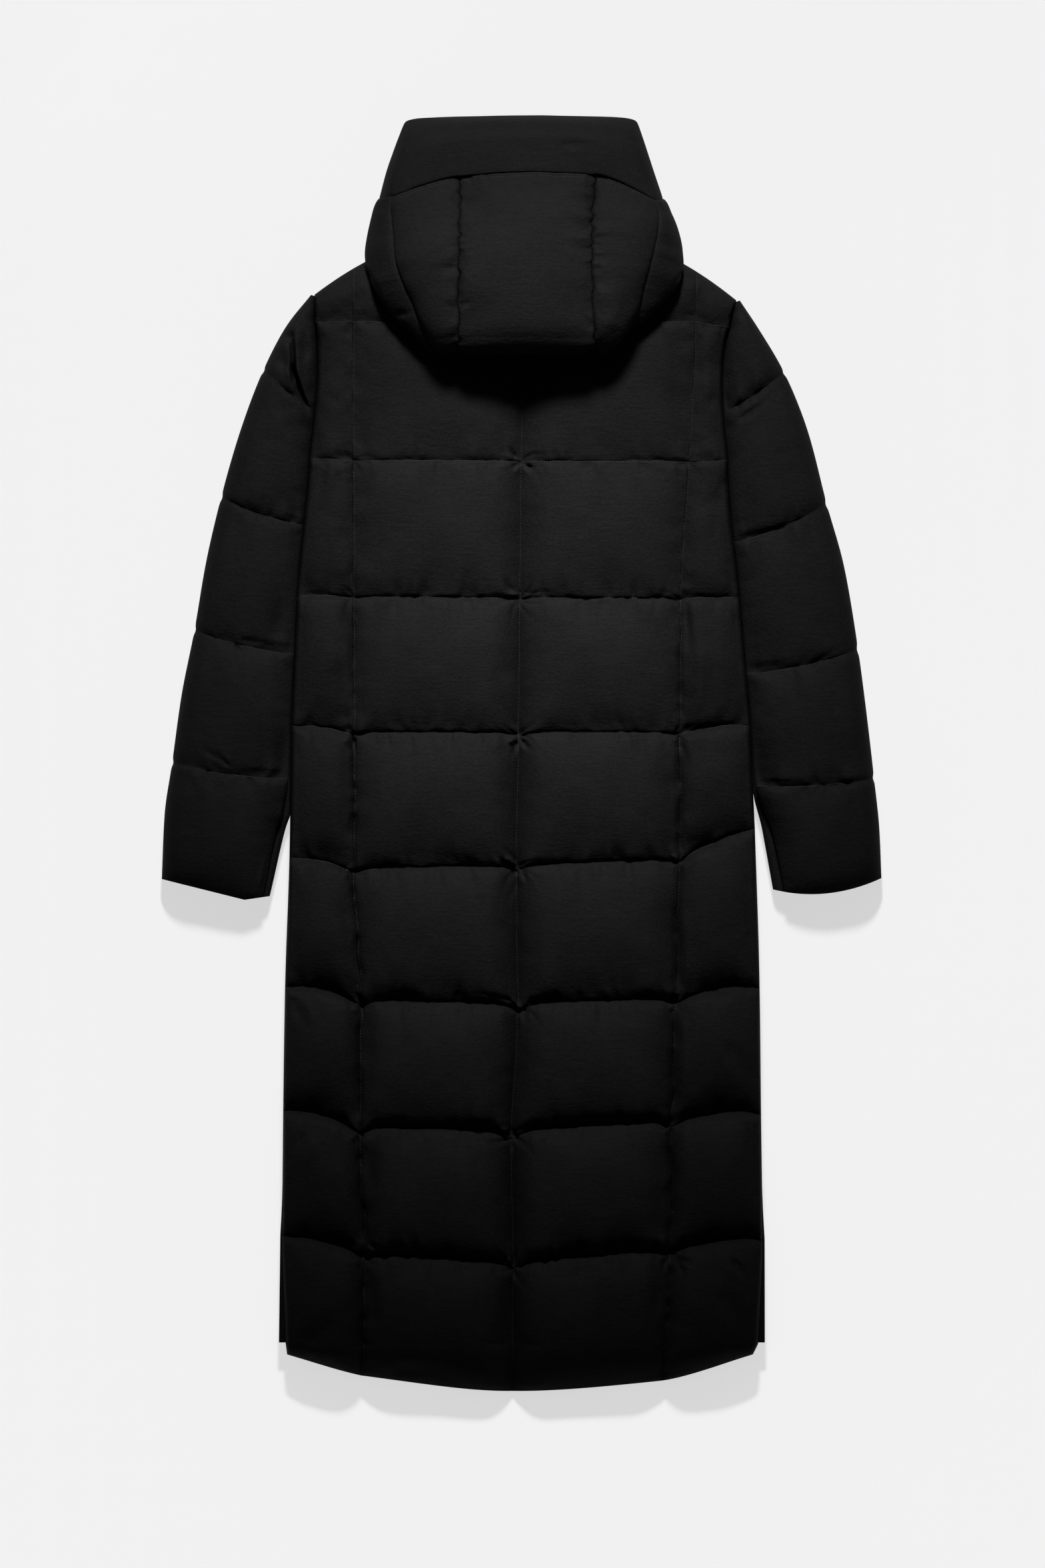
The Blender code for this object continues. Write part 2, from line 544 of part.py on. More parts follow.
def hood_piece_nets(name, net, outward, wall):
    """A hood panel's nets, made from the hidden layers' points, moved out."""
    first, last, low, high, _ = HOOD_PIECES[name]
    rows = [r for r, v in enumerate(HOOD_ROW_PLACES) if low <= v <= high]
    columns = [c for c, u in enumerate(HOOD_COLUMNS) if first <= u <= last]
    part_of_it = np.ix_(rows, columns)
    base, out = net[part_of_it], outward[part_of_it]
    puff = np.array([[hood_puff(name, HOOD_COLUMNS[c], HOOD_ROW_PLACES[r]) for c in columns] for r in rows])
    return base - wall[part_of_it] * out, base + puff[..., None] * out


def hood_inside_nets(net, outward, wall):
    """The hidden folded layers: under the panels on top, and flat on the floor below."""
    top = net - (wall + HOOD_LAYER_GAP) * outward
    top[:, (0, -1), 2] -= EDGE_HEIGHT / 2
    top[(0, -1), 1:-1, 2] -= EDGE_HEIGHT / 2
    bottom = top.copy()
    bottom[..., 2] = 0
    turned = bottom.swapaxes(0, 1)
    for rim in (bottom, bottom[::-1], turned, turned[::-1]):
        between_ends = rim[:, 1:-1]
        for step in range(1, FLAT_RIM):
            share = step / FLAT_RIM
            between_ends[step] = (1 - share) * between_ends[0] + share * between_ends[FLAT_RIM]
    return bottom, top


# ---- Making the solids -----------------------------------------------------------------------------


def parted(nets, *sides):
    """The nets with the named sides drawn in by half a seam gap, to clear the piece that is sewn there."""
    inner, outer = (net.copy() for net in nets)
    for side in sides:
        edge, inside = {
            "left": (np.s_[:, 0], np.s_[:, 1]),
            "right": (np.s_[:, -1], np.s_[:, -2]),
            "low": (np.s_[0], np.s_[1]),
            "high": (np.s_[-1], np.s_[-2]),
        }[side]
        step = (nets[1][inside] - nets[1][edge])[:, :2]
        step *= SEAM_GAP / 2 / np.linalg.norm(step, axis=1, keepdims=True)
        inner[edge][:, :2] += step
        outer[edge][:, :2] += step
    return inner, outer


def fabric(name):
    """Matt black shell fabric."""
    material = bpy.data.materials.new(name)
    material.use_nodes = True
    shader = material.node_tree.nodes["Principled BSDF"]
    shader.inputs["Base Color"].default_value = SHELL_COLOUR
    shader.inputs["Roughness"].default_value = SHELL_ROUGHNESS
    shader.inputs["Metallic"].default_value = 0.0
    return material


def padded_piece(name, nets, collection):
    """A closed wall between two nets: a grid laid on the inner one and extruded to the outer one."""
    inner, outer = nets
    rows, columns = inner.shape[:2]
    shape = bmesh.new()
    bmesh.ops.create_grid(shape, x_segments=columns - 1, y_segments=rows - 1, size=0.5)
    bmesh.ops.triangulate(shape, faces=shape.faces[:], quad_method="FIXED")
    raised = bmesh.ops.extrude_face_region(shape, geom=shape.faces[:])["geom"]
    raised = {piece for piece in raised if isinstance(piece, bmesh.types.BMVert)}
    for corner in shape.verts:
        row = round((corner.co.y + 0.5) * (rows - 1))
        column = round((corner.co.x + 0.5) * (columns - 1))
        corner.co = (outer if corner in raised else inner)[row, column] * MM
    sides = [face for face in shape.faces if len(face.verts) > 3]
    bmesh.ops.triangulate(shape, faces=sides, quad_method="SHORT_EDGE")
    bmesh.ops.recalc_face_normals(shape, faces=shape.faces[:])
    if shape.calc_volume(signed=True) < 0:
        bmesh.ops.reverse_faces(shape, faces=shape.faces[:])
    mesh = bpy.data.meshes.new(name)
    shape.to_mesh(mesh)
    shape.free()
    mesh.shade_smooth()
    mesh.set_sharp_from_angle(angle=math.radians(40))
    piece = bpy.data.objects.new(name, mesh)
    piece.data.materials.append(fabric(name + "_fabric"))
    collection.objects.link(piece)
    return piece


def body_room(back, rest, collection):
    """The room that the back and the shoulders take up under the hood."""
    top_edge = back[0, ::-1, :2] + (0, HOOD_CLEARANCE)
    outline = [(top_edge[-1, 0], HOOD_ROOM_LOW_Y), (top_edge[0, 0], HOOD_ROOM_LOW_Y), *top_edge]
    shape = bmesh.new()
    base = shape.faces.new([shape.verts.new((x * MM, y * MM, -rest * MM)) for x, y in outline])
    raised = bmesh.ops.extrude_face_region(shape, geom=[base])["geom"]
    corners = [piece for piece in raised if isinstance(piece, bmesh.types.BMVert)]
    bmesh.ops.translate(shape, verts=corners, vec=(0, 0, 2 * rest * MM))
    bmesh.ops.recalc_face_normals(shape, faces=shape.faces[:])
    mesh = bpy.data.meshes.new("body_room")
    shape.to_mesh(mesh)
    shape.free()
    cutter = bpy.data.objects.new("body_room", mesh)
    cutter.hide_render = True
    cutter.display_type = "WIRE"
    collection.objects.link(cutter)
    return cutter


def cut_away(piece, cutter):
    """Cuts the cutter's shape out of a piece."""
    cut = piece.modifiers.new("room_for_the_body", "BOOLEAN")
    cut.operation = "DIFFERENCE"
    cut.solver = "EXACT"
    cut.object = cutter


def centre_on_origin(pieces, helpers):
    """Moves everything so that the origin is under the middle of the coat."""
    corners = np.array([corner.co for piece in pieces for corner in piece.data.vertices])
    low, high = corners.min(axis=0), corners.max(axis=0)
    shift = -(low + high) / 2
    shift[2] = -low[2]
    for piece in pieces + helpers:
        for corner in piece.data.vertices:
            corner.co = np.array(corner.co) + shift


def columns_between(net, first, last):
    """The part of the back's net between two uprights."""
    columns = [c for c, u in enumerate(BACK_COLUMNS) if first <= u <= last]
    return net[:, columns]


def main():
    for existing in list(bpy.data.objects):
        bpy.data.objects.remove(existing)
    coat = bpy.data.collections.new("long_puffer_coat")
    cutters = bpy.data.collections.new("cutters")
    for collection in (coat, cutters):
        bpy.context.scene.collection.children.link(collection)

    back = back_nets()
    edges = body_edges(back[1])
    pieces = []

    def add(name, nets):
        pieces.append(padded_piece(name, nets, coat))
        return pieces[-1]

    add("back_side_left", parted([columns_between(net, 0, 1) for net in back], "right"))
    add("back_centre", parted([columns_between(net, 1, 3) for net in back], "left", "right"))
    add("back_side_right", parted([columns_between(net, 3, 4) for net in back], "left"))
    add("front_placket", placket_nets())
    for side in ("left", "right"):
        add("front_" + side, front_nets(side, edges))
        for name, nets in sleeve_nets(side, edges).items():
            add("sleeve_" + side + "_" + name, nets)

    under_the_hood = [r for r, v in enumerate(BACK_ROWS) if v < 2]
    rest = float(back[1][under_the_hood, :, 2].max()) + SEAM_GAP
    surface = hood_surface(rest)
    hood = [add("hood_inside", hood_inside_nets(*surface))]
    seams = {
        "hood_band_left": ("right", "high"),
        "hood_side_left": ("left", "right", "high"),
        "hood_centre": ("left", "right", "high"),
        "hood_side_right": ("left", "right", "high"),
        "hood_band_right": ("left", "high"),
        "hood_brim": ("low",),
    }
    for name, sides in seams.items():
        hood.append(add(name, parted(hood_piece_nets(name, *surface), *sides)))
    cutter = body_room(back[1], rest, cutters)
    for piece in hood:
        if piece.name == "hood_inside" or piece.name.startswith("hood_band"):
            cut_away(piece, cutter)
    centre_on_origin(pieces, [cutter])


main()
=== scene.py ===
"""The looks of a long hooded puffer coat that lies flat on its front, with its back up.

Sizes are in millimetres and are turned into metres where the meshes are made. +X is to the right as the
coat is looked down on, +Y points from the hem to the hood and +Z is up.

Every padded panel is a fine closed mesh on the form of its solid. On the back and the sleeves its stitched
lines are held and Blender's cloth simulation lets the loose fabric between them buckle; then come the
gathers beside the stitches, the puckers where two rows cross, and the larger creases, placed one by one.
The thread is real stitches.
"""

import math
from collections import namedtuple

import bpy
import numpy as np
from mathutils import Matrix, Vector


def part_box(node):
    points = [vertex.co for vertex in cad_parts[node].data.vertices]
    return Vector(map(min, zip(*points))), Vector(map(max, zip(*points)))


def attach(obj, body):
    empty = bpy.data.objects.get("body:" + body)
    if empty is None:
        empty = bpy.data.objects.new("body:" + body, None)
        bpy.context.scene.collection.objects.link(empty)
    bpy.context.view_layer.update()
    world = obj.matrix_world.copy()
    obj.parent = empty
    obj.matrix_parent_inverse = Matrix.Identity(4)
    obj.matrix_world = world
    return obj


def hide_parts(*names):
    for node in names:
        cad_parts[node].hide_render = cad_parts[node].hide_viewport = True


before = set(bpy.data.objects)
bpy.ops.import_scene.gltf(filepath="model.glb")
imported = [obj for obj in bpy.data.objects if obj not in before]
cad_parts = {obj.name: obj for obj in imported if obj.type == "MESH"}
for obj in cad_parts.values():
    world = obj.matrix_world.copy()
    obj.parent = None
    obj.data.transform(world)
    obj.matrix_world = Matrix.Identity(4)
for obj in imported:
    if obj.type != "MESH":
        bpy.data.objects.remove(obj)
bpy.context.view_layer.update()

MM = 0.001
SIGN = {"left": -1, "right": 1}
EDGE_PLACE = {"left": 0, "right": -1}
scene = bpy.context.scene

# Heights and thicknesses
SEAM_GAP = 0.3
SIDE_SEAM_HEIGHT = 24.0
STITCHED_WALL = 3.8
RIM_LIFT = 19.0
RIM_WIDTH = 20.0

# Quilting of the back
EDGE_ROUND = 50.0  # the back rounds down to a side seam over this distance
EDGE_LIP = 0.55  # but this share of it stands up at the seam itself
EDGE_LIP_REACH = 4.5
UPPER_ROLL = 11.0  # the padding rolls down to the row above it over this distance
UPPER_ROLL_SHARE = 0.8  # and a little less than to the row below it

# How the padding sinks to an upright row of stitches: depth as a share of the puff, how far the hollow
# reaches to its left and right, and the depth of the narrow groove at the stitches
Hollow = namedtuple("Hollow", "depth left right groove")
UPRIGHTS = {1: Hollow(0.4, 24, 38, 0.26), 2: Hollow(0.7, 32, 32, 0.1), 3: Hollow(0.4, 38, 24, 0.26)}
GROOVE_WIDTH = 3.2  # of the narrow groove that the stitches themselves pull in
UPRIGHT_WAVE = 1.5  # how far the long seams wander sideways
UPRIGHT_STRENGTH = (0.15, 0.5, 0.85, 1, 1.05, 1.15, 1.25, 1.35, 1.35, 1.35, 1.35)  # by chamber
SAG_WIDTH = 15.0
GATHER_STRENGTH = (0.5, 0.7, 0.85, 0.9, 1, 1.1, 1.1, 1.1, 1.1)  # by chamber
YOKE_PUCKER = 0.5  # how deep the puckers of the first row are
OVERHANG_PLACE = 0.8  # a chamber's overhang sets in over this share of its length
SIDE_HOLLOW_ENDS = 6  # the hollow fades out over one part in so many of a panel's width
ROUGH_STEP = 6  # between the places of a simulated net

# How far the side panels sink at the row under each chamber, as a share of the height kept there, and how
# far the hollow reaches above and below the row
SIDE_HOLLOWS = (0, 0, 0.15, 0.3, 0.4, 0.6, 0.75, 0.8)
HOLLOW_ABOVE, HOLLOW_BELOW = 20.0, 5.0
SIDE_SLOPES = (0, 0.05, 0.15, 0.3, 0.4, 0.4, 0.35, 0.35)  # how much each leans down to its lower row
ARMHOLE_HOLLOW = {"left": 4.0, "right": 7.0}
HEM_DROP = 0.55

# Shoulders and neck
NECK_MIDDLE = 2.5
NECK_HALF_WIDTH = 90.0
NECK_POINT_Y = 542.0
NECK_SCOOP = 12.0
SHOULDER_BEND = 1.7
SHOULDER_TIP = {"left": (-217.0, 484.0), "right": (226.0, 478.0)}

# Fronts
FRONT_HEM_Y = -617.0
PLACKET_HALF_WIDTH = 30.0
VENT_FLARE = 7.0
VENT_FLARE_START_Y = -440.0
VENT_FLARE_LENGTH = 177.0
FRONT_RIM = np.array((0, 0.7, 1.5, 2.5, 4, 6, 8.5, 11.5, 15, 20))  # lines of its net beside an edge
FRONT_COLUMNS, FRONT_ROWS = 12, 360  # lines of its net between the edges
FRONT_PINCH, FRONT_PINCH_WIDTH = 0.55, 5  # how far a row draws up the rim
FRONT_PINCH_START, FRONT_PINCH_REACH = 6, 9
FRONT_TOP_DROP, FRONT_TOP_ROUND = 0.8, 3

# Sleeves
SLEEVE_SEAM_HEIGHT = 22.0
SLEEVE_CLEARANCE = -0.3
SLEEVE_FOLD = 22.0
SLEEVE_FOLD_HEIGHT = 14.0
SLEEVE_TURN_UNDER = 9.0
SLEEVE_JOINT = 17.0
SLEEVE_FULL_WIDTH = 80.0
SLEEVE_SEAM_ROUND = 45.0
SLEEVE_LOW_HEIGHTS = (9.5, 5, 1.6, 0)  # from the outer fold to the floor
SLEEVE_LOW_PLACES = (0, 0.05, 1 / 3, 0.62, 1)  # and how far each is turned under
SLEEVE_FOLD_ANGLES = np.radians(np.linspace(84, 6, 14))
SLEEVE_PINCH, SLEEVE_PINCH_WIDTH = 1.3, 4  # how far a row draws in the outer fold
UNDER_SLEEVE_COLUMNS = 17  # of its net, over the strip that shows
UNDER_SLEEVE_HIDDEN = np.array((0.08, 0.2, 0.35, 0.5, 0.65, 0.8, 1))  # places across the rest
UNDER_SLEEVE_PINCH = 0.2
SLEEVE_CROWN_COLUMNS = 58
UNDER_SLEEVE_EDGE = ((1, 21.5), (1 / 3, 19), (0, 13), (1 / 3, 4))  # share of its strip, and height
CUFF_FULLNESS = 0.35

# Hood
HOOD_WALL = 3.6
HOOD_EDGE_WALL = 0.4
HOOD_TUCK = 6.0
EDGE_HEIGHT = 0.6
CORNER_SHARE = 0.35
HOOD_PUFF = {"centre": 10.0, "side": 9.0, "band": 5.0, "brim": 2.0}
BRIM_LIP = 6.0
PANEL_ROUND = 1.6
PANEL_SEAM_PLACE = 0.03
PANEL_TOP_ROUND = 0.55
BRIM_ROUND = 1.2
HOOD_STEP = 1.8  # between the places of its nets
HOOD_SMOOTHING = 0.6  # in rows of its table
HOOD_GATHER = 1.7  # how much deeper the gathers are than on the back
HOOD_SEAM_WAVE = 1.4  # how far the seams beside the centre panel wander sideways
HOOD_SEAM_WAVE_LENGTH, HOOD_SEAM_WAVE_WIDTH = 7, 5
BRIM_GATHER = 0.8  # how deep the gathers at the brim's seam are
HOOD_SIDE_CALM, HOOD_END_CALM = 0.8, 1.2  # the small folds fade out over so many columns and rows
DEEPEST_HOOD_FOLD = 0.5  # as a share of the wall

# The rows of quilting on the back, shoulder to hem. places are (x, y) at a row's left edge, left seam,
# middle, right seam and right edge. puff is how high the chamber under the row stands, sag how far the row
# drops where an upright crosses it, and kept the share of the puff that is left at the row itself. roll is
# the share that is a steep roll at the stitches, the rest being one slow swell, and low_roll how far the
# roll at the lower stitches reaches. overhang is how far the chamber bulges towards the hem.
BackLine = namedtuple("BackLine", "name places puff sag kept roll low_roll overhang")
BACK_LINES = [BackLine(*row) for row in (
    ("shoulder", ((-217, 484), (-177, 507), (2, 530), (184, 502), (226, 478)), 24, 0, 0, 0.1, 8, 0),
    ("yoke", ((-217.5, 454.5), (-177, 454.5), (2, 454.5), (183, 454.5), (219.5, 448.5)),
     27, 0, 0.93, 0.3, 8, 0),
    ("blade", ((-222.5, 311), (-177, 308.5), (0, 307.5), (176, 307), (217, 309)), 30, 1, 0.8, 0.22, 6, 1),
    ("chest", ((-235, 167), (-176.5, 165), (-1.5, 163.5), (167, 163), (229, 165)), 31, 2, 0.6, 0.3, 7, 2),
    ("waist", ((-241, 31), (-176.5, 21.5), (-3, 21.5), (166.5, 21.5), (240, 32)), 32, 3, 0.52, 0.38, 9, 3),
    ("hip", ((-243.5, -108), (-176.5, -122), (-5, -119.5), (164.5, -112), (245.5, -77)),
     33, 4, 0.4, 0.5, 13, 4),
    ("seat", ((-248, -242.5), (-169.5, -262), (-3.5, -266.5), (161, -260.5), (250.5, -244)),
     33, 6, 0.32, 0.58, 18, 5),
    ("thigh", ((-250, -373), (-171, -396), (-10.5, -401), (157.5, -390), (252, -376.5)),
     33, 7, 0.26, 0.62, 21, 5),
    ("knee", ((-251, -504), (-165, -528), (-8.5, -538), (156, -523.5), (253.5, -508.5)),
     28, 6, 0.24, 0.56, 17, 0),
    ("front_hem", ((-247.5, -618), (-167, -618), (-9, -618), (151, -618), (249, -618)),
     28, 0, 0, 0.5, 14, 0),
    ("hem", ((-246, -629.5), (-169, -652), (-9, -668.5), (148, -657.5), (243.5, -629.5)), 0, 0, 0, 0, 1, 0),
)]
LAST_CHAMBER = 8
FRONT_HEM_PLACE = 0.78
HEM_FULLNESS = 0.3

# Sections of a sleeve from head to cuff: x and y of its outer fold, y of its inner seam, the gap to the
# body there, how wide a strip of the under sleeve shows, the puff, and how far the section bows to the cuff
SLEEVE_SECTIONS = {
    "left": (
        (-221, 484, 482.5, -0.3, 0.1, 16, 0),  # head
        (-247, 451, 429.5, -0.3, 0.4, 20, 1),  # cap
        (-271.5, 404, 361.5, -0.2, 0.2, 24, 2),  # upper row
        (-295, 342, 289.5, -0.2, 0.2, 25, 3),  # upper arm
        (-315.5, 271, 241, -0.2, 0.3, 26, 4),  # arm row
        (-331.5, 202, 177.5, -0.2, 0.3, 26, 4),  # above elbow
        (-343.5, 131.5, 105.5, -0.2, 0.4, 26, 4),  # elbow row
        (-357, 63.5, 37.5, -0.2, 0.8, 26, 4),  # forearm
        (-367, -8, -25, -12, 3, 25, 4),  # forearm row
        (-375, -64, -78, 5, 9, 23, 6),  # above cuff
        (-377.8, -130, -148, 19.5, 7, 20, 8),  # cuff
    ),
    "right": (
        (230, 478, 476.5, -0.3, 0.1, 16, 0),
        (250.5, 447, 422.5, -0.3, 0.4, 20, 1),
        (277, 401.5, 359, -0.2, 0.2, 24, 2),
        (301, 342, 291, -0.2, 0.2, 25, 3),
        (321.5, 263.5, 222.5, -0.2, 0.3, 26, 4),
        (339.5, 198.5, 156.5, -0.2, 0.3, 26, 4),
        (354.3, 111, 84.5, -0.2, 0.4, 26, 4),
        (363.5, 41, 23.5, -0.2, 0.8, 26, 4),
        (371, -24, -32.5, -0.2, 3, 25, 4),
        (376.6, -78, -77, 7.5, 10, 23, 5),
        (378.7, -129, -141, 17, 12, 20, 10),
    ),
}

# The hood's outside in rows from its lower edge to its brim. Each is seven points from left to right: its
# edge, the fullest line of the band, the seam of the centre panel, the middle, and the same on the right.
HOOD_ROWS = (
    ((-96, 429, 11), (-84, 421, 16), (-65, 421, 22), (3, 424, 25), (79, 420, 22), (112, 447, 16),
     (123, 454.5, 11)),  # lower edge
    ((-116, 449, 12), (-97, 437, 33), (-66, 438, 57), (3, 440, 62), (77, 437, 57), (121, 463, 33),
     (139, 469, 12)),  # underside
    ((-137, 466, 12), (-110, 468, 40), (-66, 475, 60), (3, 477, 65), (75, 475, 60), (128, 492, 40),
     (156, 486, 12)),  # belly
    ((-153, 491, 12), (-124, 498, 44), (-65, 510, 60), (4, 512, 65), (74, 510, 60), (134, 512, 44),
     (168, 503, 12)),  # crest
    ((-162.4, 519, 38), (-132, 522, 97), (-64.5, 545, 109), (5, 547, 113), (74, 545, 109),
     (141, 540, 96), (167.5, 533, 38)),  # shoulder
    ((-159, 550, 37), (-133, 554, 90), (-63.7, 578, 98), (6, 580, 102), (75, 578, 98), (143, 561, 90),
     (157.5, 561, 37)),  # nape
    ((-148.5, 584, 36), (-137, 586, 78), (-63.7, 606, 86), (8, 611, 88), (78, 608, 86),
     (141, 580, 78), (149, 583, 36)),  # arc
    ((-140.5, 614, 36), (-128, 615, 77), (-63, 633, 87), (5, 637, 88), (76, 634, 87), (127, 612, 77),
     (139.5, 611, 36)),  # brim
    ((-131, 641, 34), (-117, 642, 78), (-61, 654, 88), (3, 656, 89), (66, 654, 88), (116, 643, 78),
     (129.5, 641, 34)),  # brim top
    ((-121, 664.5, 28), (-109, 668.5, 34), (-60, 670.5, 36), (3, 671.3, 36), (60, 670.5, 36),
     (109, 669, 34), (120.5, 665, 28)),  # brim edge
)
HOOD_ROWS_OVER_THE_BACK = 4

# The gathers beside a row of stitches, finest first
Gather = namedtuple("Gather", "pitch reach depth")
ROW_GATHERS = (Gather(6.2, 4.5, 1.7), Gather(11, 8, 1.8), Gather(23, 20, 1.9))
UPRIGHT_GATHERS = (Gather(7, 4, 0.15), Gather(19, 9, 0.45))
SEAM_GATHERS = (Gather(6.5, 3, 0.8), Gather(15, 7, 1.1), Gather(34, 15, 1.3))

# The larger creases, each x0, y0, x1, y1, width, depth, bow. One runs from (x0, y0), where it is deepest,
# to (x1, y1), where it fades out, and bows to its left. A depth below 0 is a ridge.
BACK_CREASES = (
    # beside the two long seams
    (197, 450, 194, 300, 9, -1.4, 0), (187, 452, 184, 330, 7, 1.3, 0), (166, 452, 163, 310, 11, 1.6, 0),
    (-188, 452, -190, 300, 11, 1.3, 0), (186, 34, 178, 161, 6, -1.6, -6), (174, 163, 176, 96, 4, 2.6, 0),
    (196, 40, 192, 130, 8, 1, -4), (-180.6, 28, -187, 158, 5, -1.8, -3), (-192, 28, -195, 130, 8, 1, -3),
    (-181, 18, -181, -90, 3.5, -1.8, 3), (-181, -128, -177, -250, 4, -2.2, 3),
    (173, -262, 166, -120, 5, -2.4, -3), (170, -268, 168, -380, 5, -2.2, 2),
    (-164, -270, -160, -370, 9, 2.2, 0), (-162, -404, -158, -480, 9, 2.6, 0),
    (-158, -545, -154, -625, 9, 2.4, 0), (-14, -545, -16, -640, 8, 1.8, 0), (148, -540, 140, -610, 9, 2, 0),
    # at the crossings
    (-174, 19, -178, -2, 2.97, 4.5, 0), (164, 26, 173, -15, 3.78, 4.5, 2), (166, 8, 171, 44, 4.05, -3, 0),
    (-166, -252, -171, -276, 3.24, 4.5, 1), (155, -252, 170, -271, 3.24, 4.8, 0),
    (-15, -393, 3, -415, 3.24, 5.7, 2), (-8, 168, -17, 190, 3.24, 3.9, 2), (4, 168, 12, 188, 3.24, 3.3, -2),
    (-6, 17, -14, -6, 3.24, 4.2, 2), (2, 17, 10, 4, 2.97, 3.9, -1), (-4, 311, -12, 330, 2.97, 3.3, 2),
    (4, 304, 15, 297, 2.97, 3.6, 0), (-10, 300, -3, 309, 2.97, 3.6, 0), (-2, -120, 8, -136, 3.24, 5.1, 1),
    (-12, -114, -24, -108, 3.51, 3.9, 1), (2, -266, 8, -284, 3.24, 3.9, 0),
    (8, -254, 20, -262, 3.24, 3, -2), (-165, -397, -178, -412, 3.24, 5.1, 0),
    (150, -388, 168, -404, 3.24, 4.5, 1), (-165, -520, -172, -546, 3.24, 5.1, 0),
    (-158, -512, -150, -520, 3.24, 4.5, 0), (162, -527, 172, -553, 2.97, 3.9, 1),
    (158, -524, 186, -536, 2.97, 3.6, -1), (152, -528, 146, -545, 2.97, 3.3, 0),
    # the knots of fabric at the crossings
    (-9, 314, 4, 303, 2.8, -2.6, 1), (-16, 172, 4, 160, 3.2, -3.4, 2), (-14, 12, 2, 27, 3.2, -3.6, -2),
    (-20, -108, 2, -125, 3.4, -4.2, 2), (-12, -256, 6, -273, 3.4, -3.6, 2),
    (-22, -392, -4, -409, 3.4, -3.8, 2), (-17, -529, 0, -546, 3.2, -3.2, 0),
    (-186, 10, -172, 31, 3, -3.2, 2), (-186, -128, -172, -110, 3.2, -3.4, 0),
    (-178, -272, -162, -252, 3.2, -3.6, 2), (-180, -404, -164, -386, 3.2, -3.6, 0),
    (-174, -538, -158, -520, 3.2, -3.4, 1), (160, 12, 176, 31, 3, -3.2, 2),
    (157, -104, 172, -121, 3.2, -3.4, 0), (153, -268, 170, -251, 3.2, -3.6, -2),
    (150, -398, 166, -382, 3.2, -3.6, 0),
    # single folds
    (219, -530, 238, -551, 3.5, 4.4, 1), (-230, -393, -247, -425, 5, 2.6, 3),
    (-216, -402, -232, -436, 5, -2, 3), (-239, -252, -222, -288, 6, 2.6, -3),
    (-226, -256, -212, -284, 5, -1.8, -3), (-227, -622, -182, -566, 12, 3.4, -4),
    (214, -300, 246, -352, 10, 2.4, 0), (206, -560, 244, -618, 12, 2.6, 0),
    (-140, -644, -60, -656, 9, 2.4, 4), (-206, 300, -214, 262, 5, 1.4, 0),
    (-190, 300, -198, 255, 5, 1.4, 0), (207, 290, 201, 200, 8, 1.6, 0),
)
SLEEVE_CREASES = {
    "left": (
        (-239, 386, -243.5, 476, 2.6, 11, -1), (-242, 414, -215, 346, 3, 13, -3),
        (-226, 412, -229, 458, 4.5, 3.2, 0), (-250, 402, -250, 452, 5, 3.2, 0),
        (-301, 116, -293, 105, 2.2, 2.6, 0), (-297, 122, -262, 118, 3.4, 1.6, 0),
        (-305, -12, -322, 6, 2.6, 2.4, 1), (-316, -4, -340, 14, 3, 1.8, 1),
        (-252, -36, -246, 40, 12, 3.4, 0), (-258, 120, -250, 180, 10, 2.8, 0),
        (-378, 16, -366, -10, 4, 2.6, 2), (-276, -142, -266, -96, 3, -2, 0),
    ),
    "right": (
        (228, 350, 262, 374, 3.4, 3, 0), (226, 226, 300, 246, 4, 2.4, 0), (346, 118, 352, 140, 4, 2.4, 1),
        (352, -28, 310, -34, 4, 2.6, 0), (252, -34, 248, 40, 12, 3.4, 0), (228, 362, 230, 380, 3, 2.4, 0),
        (300, 92, 340, 118, 3.5, 1.8, 0),
    ),
}
HOOD_CREASES = (
    (-62, 517, -66, 540, 3.4, 1.43, 1), (-60, 474, -70, 462, 3.4, 1.65, 0),
    (-58, 470, -52, 478, 3.4, 1.43, 0), (-64, 470, -86, 472, 3.9, 0.99, 0),
    (-66, 516, -82, 508, 3.9, 0.88, 2), (-130, 466, -110, 464, 3.6, 1.65, -1),
    (74, 506, 84, 512, 3.4, 0.99, 0), (76, 446, 64, 470, 4.5, 1.21, 2), (96, 452, 118, 490, 7.5, 1.32, 2),
    (88, 448, 102, 474, 6, -0.99, 2), (39, 641, 80, 643, 3.9, 0.88, -3),
    (-140, 583, -141, 562, 4.5, 1.32, -2), (-163, 515, -138, 466, 3.4, 1.43, 2),
    (170, 510, 154, 484, 3.4, 1.43, -2),
)

# The simulated buckling
SETTLED_SHARE = 0.6  # how much of it is kept
SETTLING_SCALE = 0.01  # the fabric is simulated at ten times its size, where Blender's solver is steady
SETTLING_GROWTH = 0.035  # how much larger the fabric is than its place
SETTLING_UNEVENNESS = 0.15
SETTLING_FRAMES = 16
SETTLING_LIMIT = 6.0  # the furthest that a place may move
SWELL_SHARE = 0.8  # how much of the slow swell is taken out again

SWELL_ROUNDS = 24  # of smoothing, which find that swell

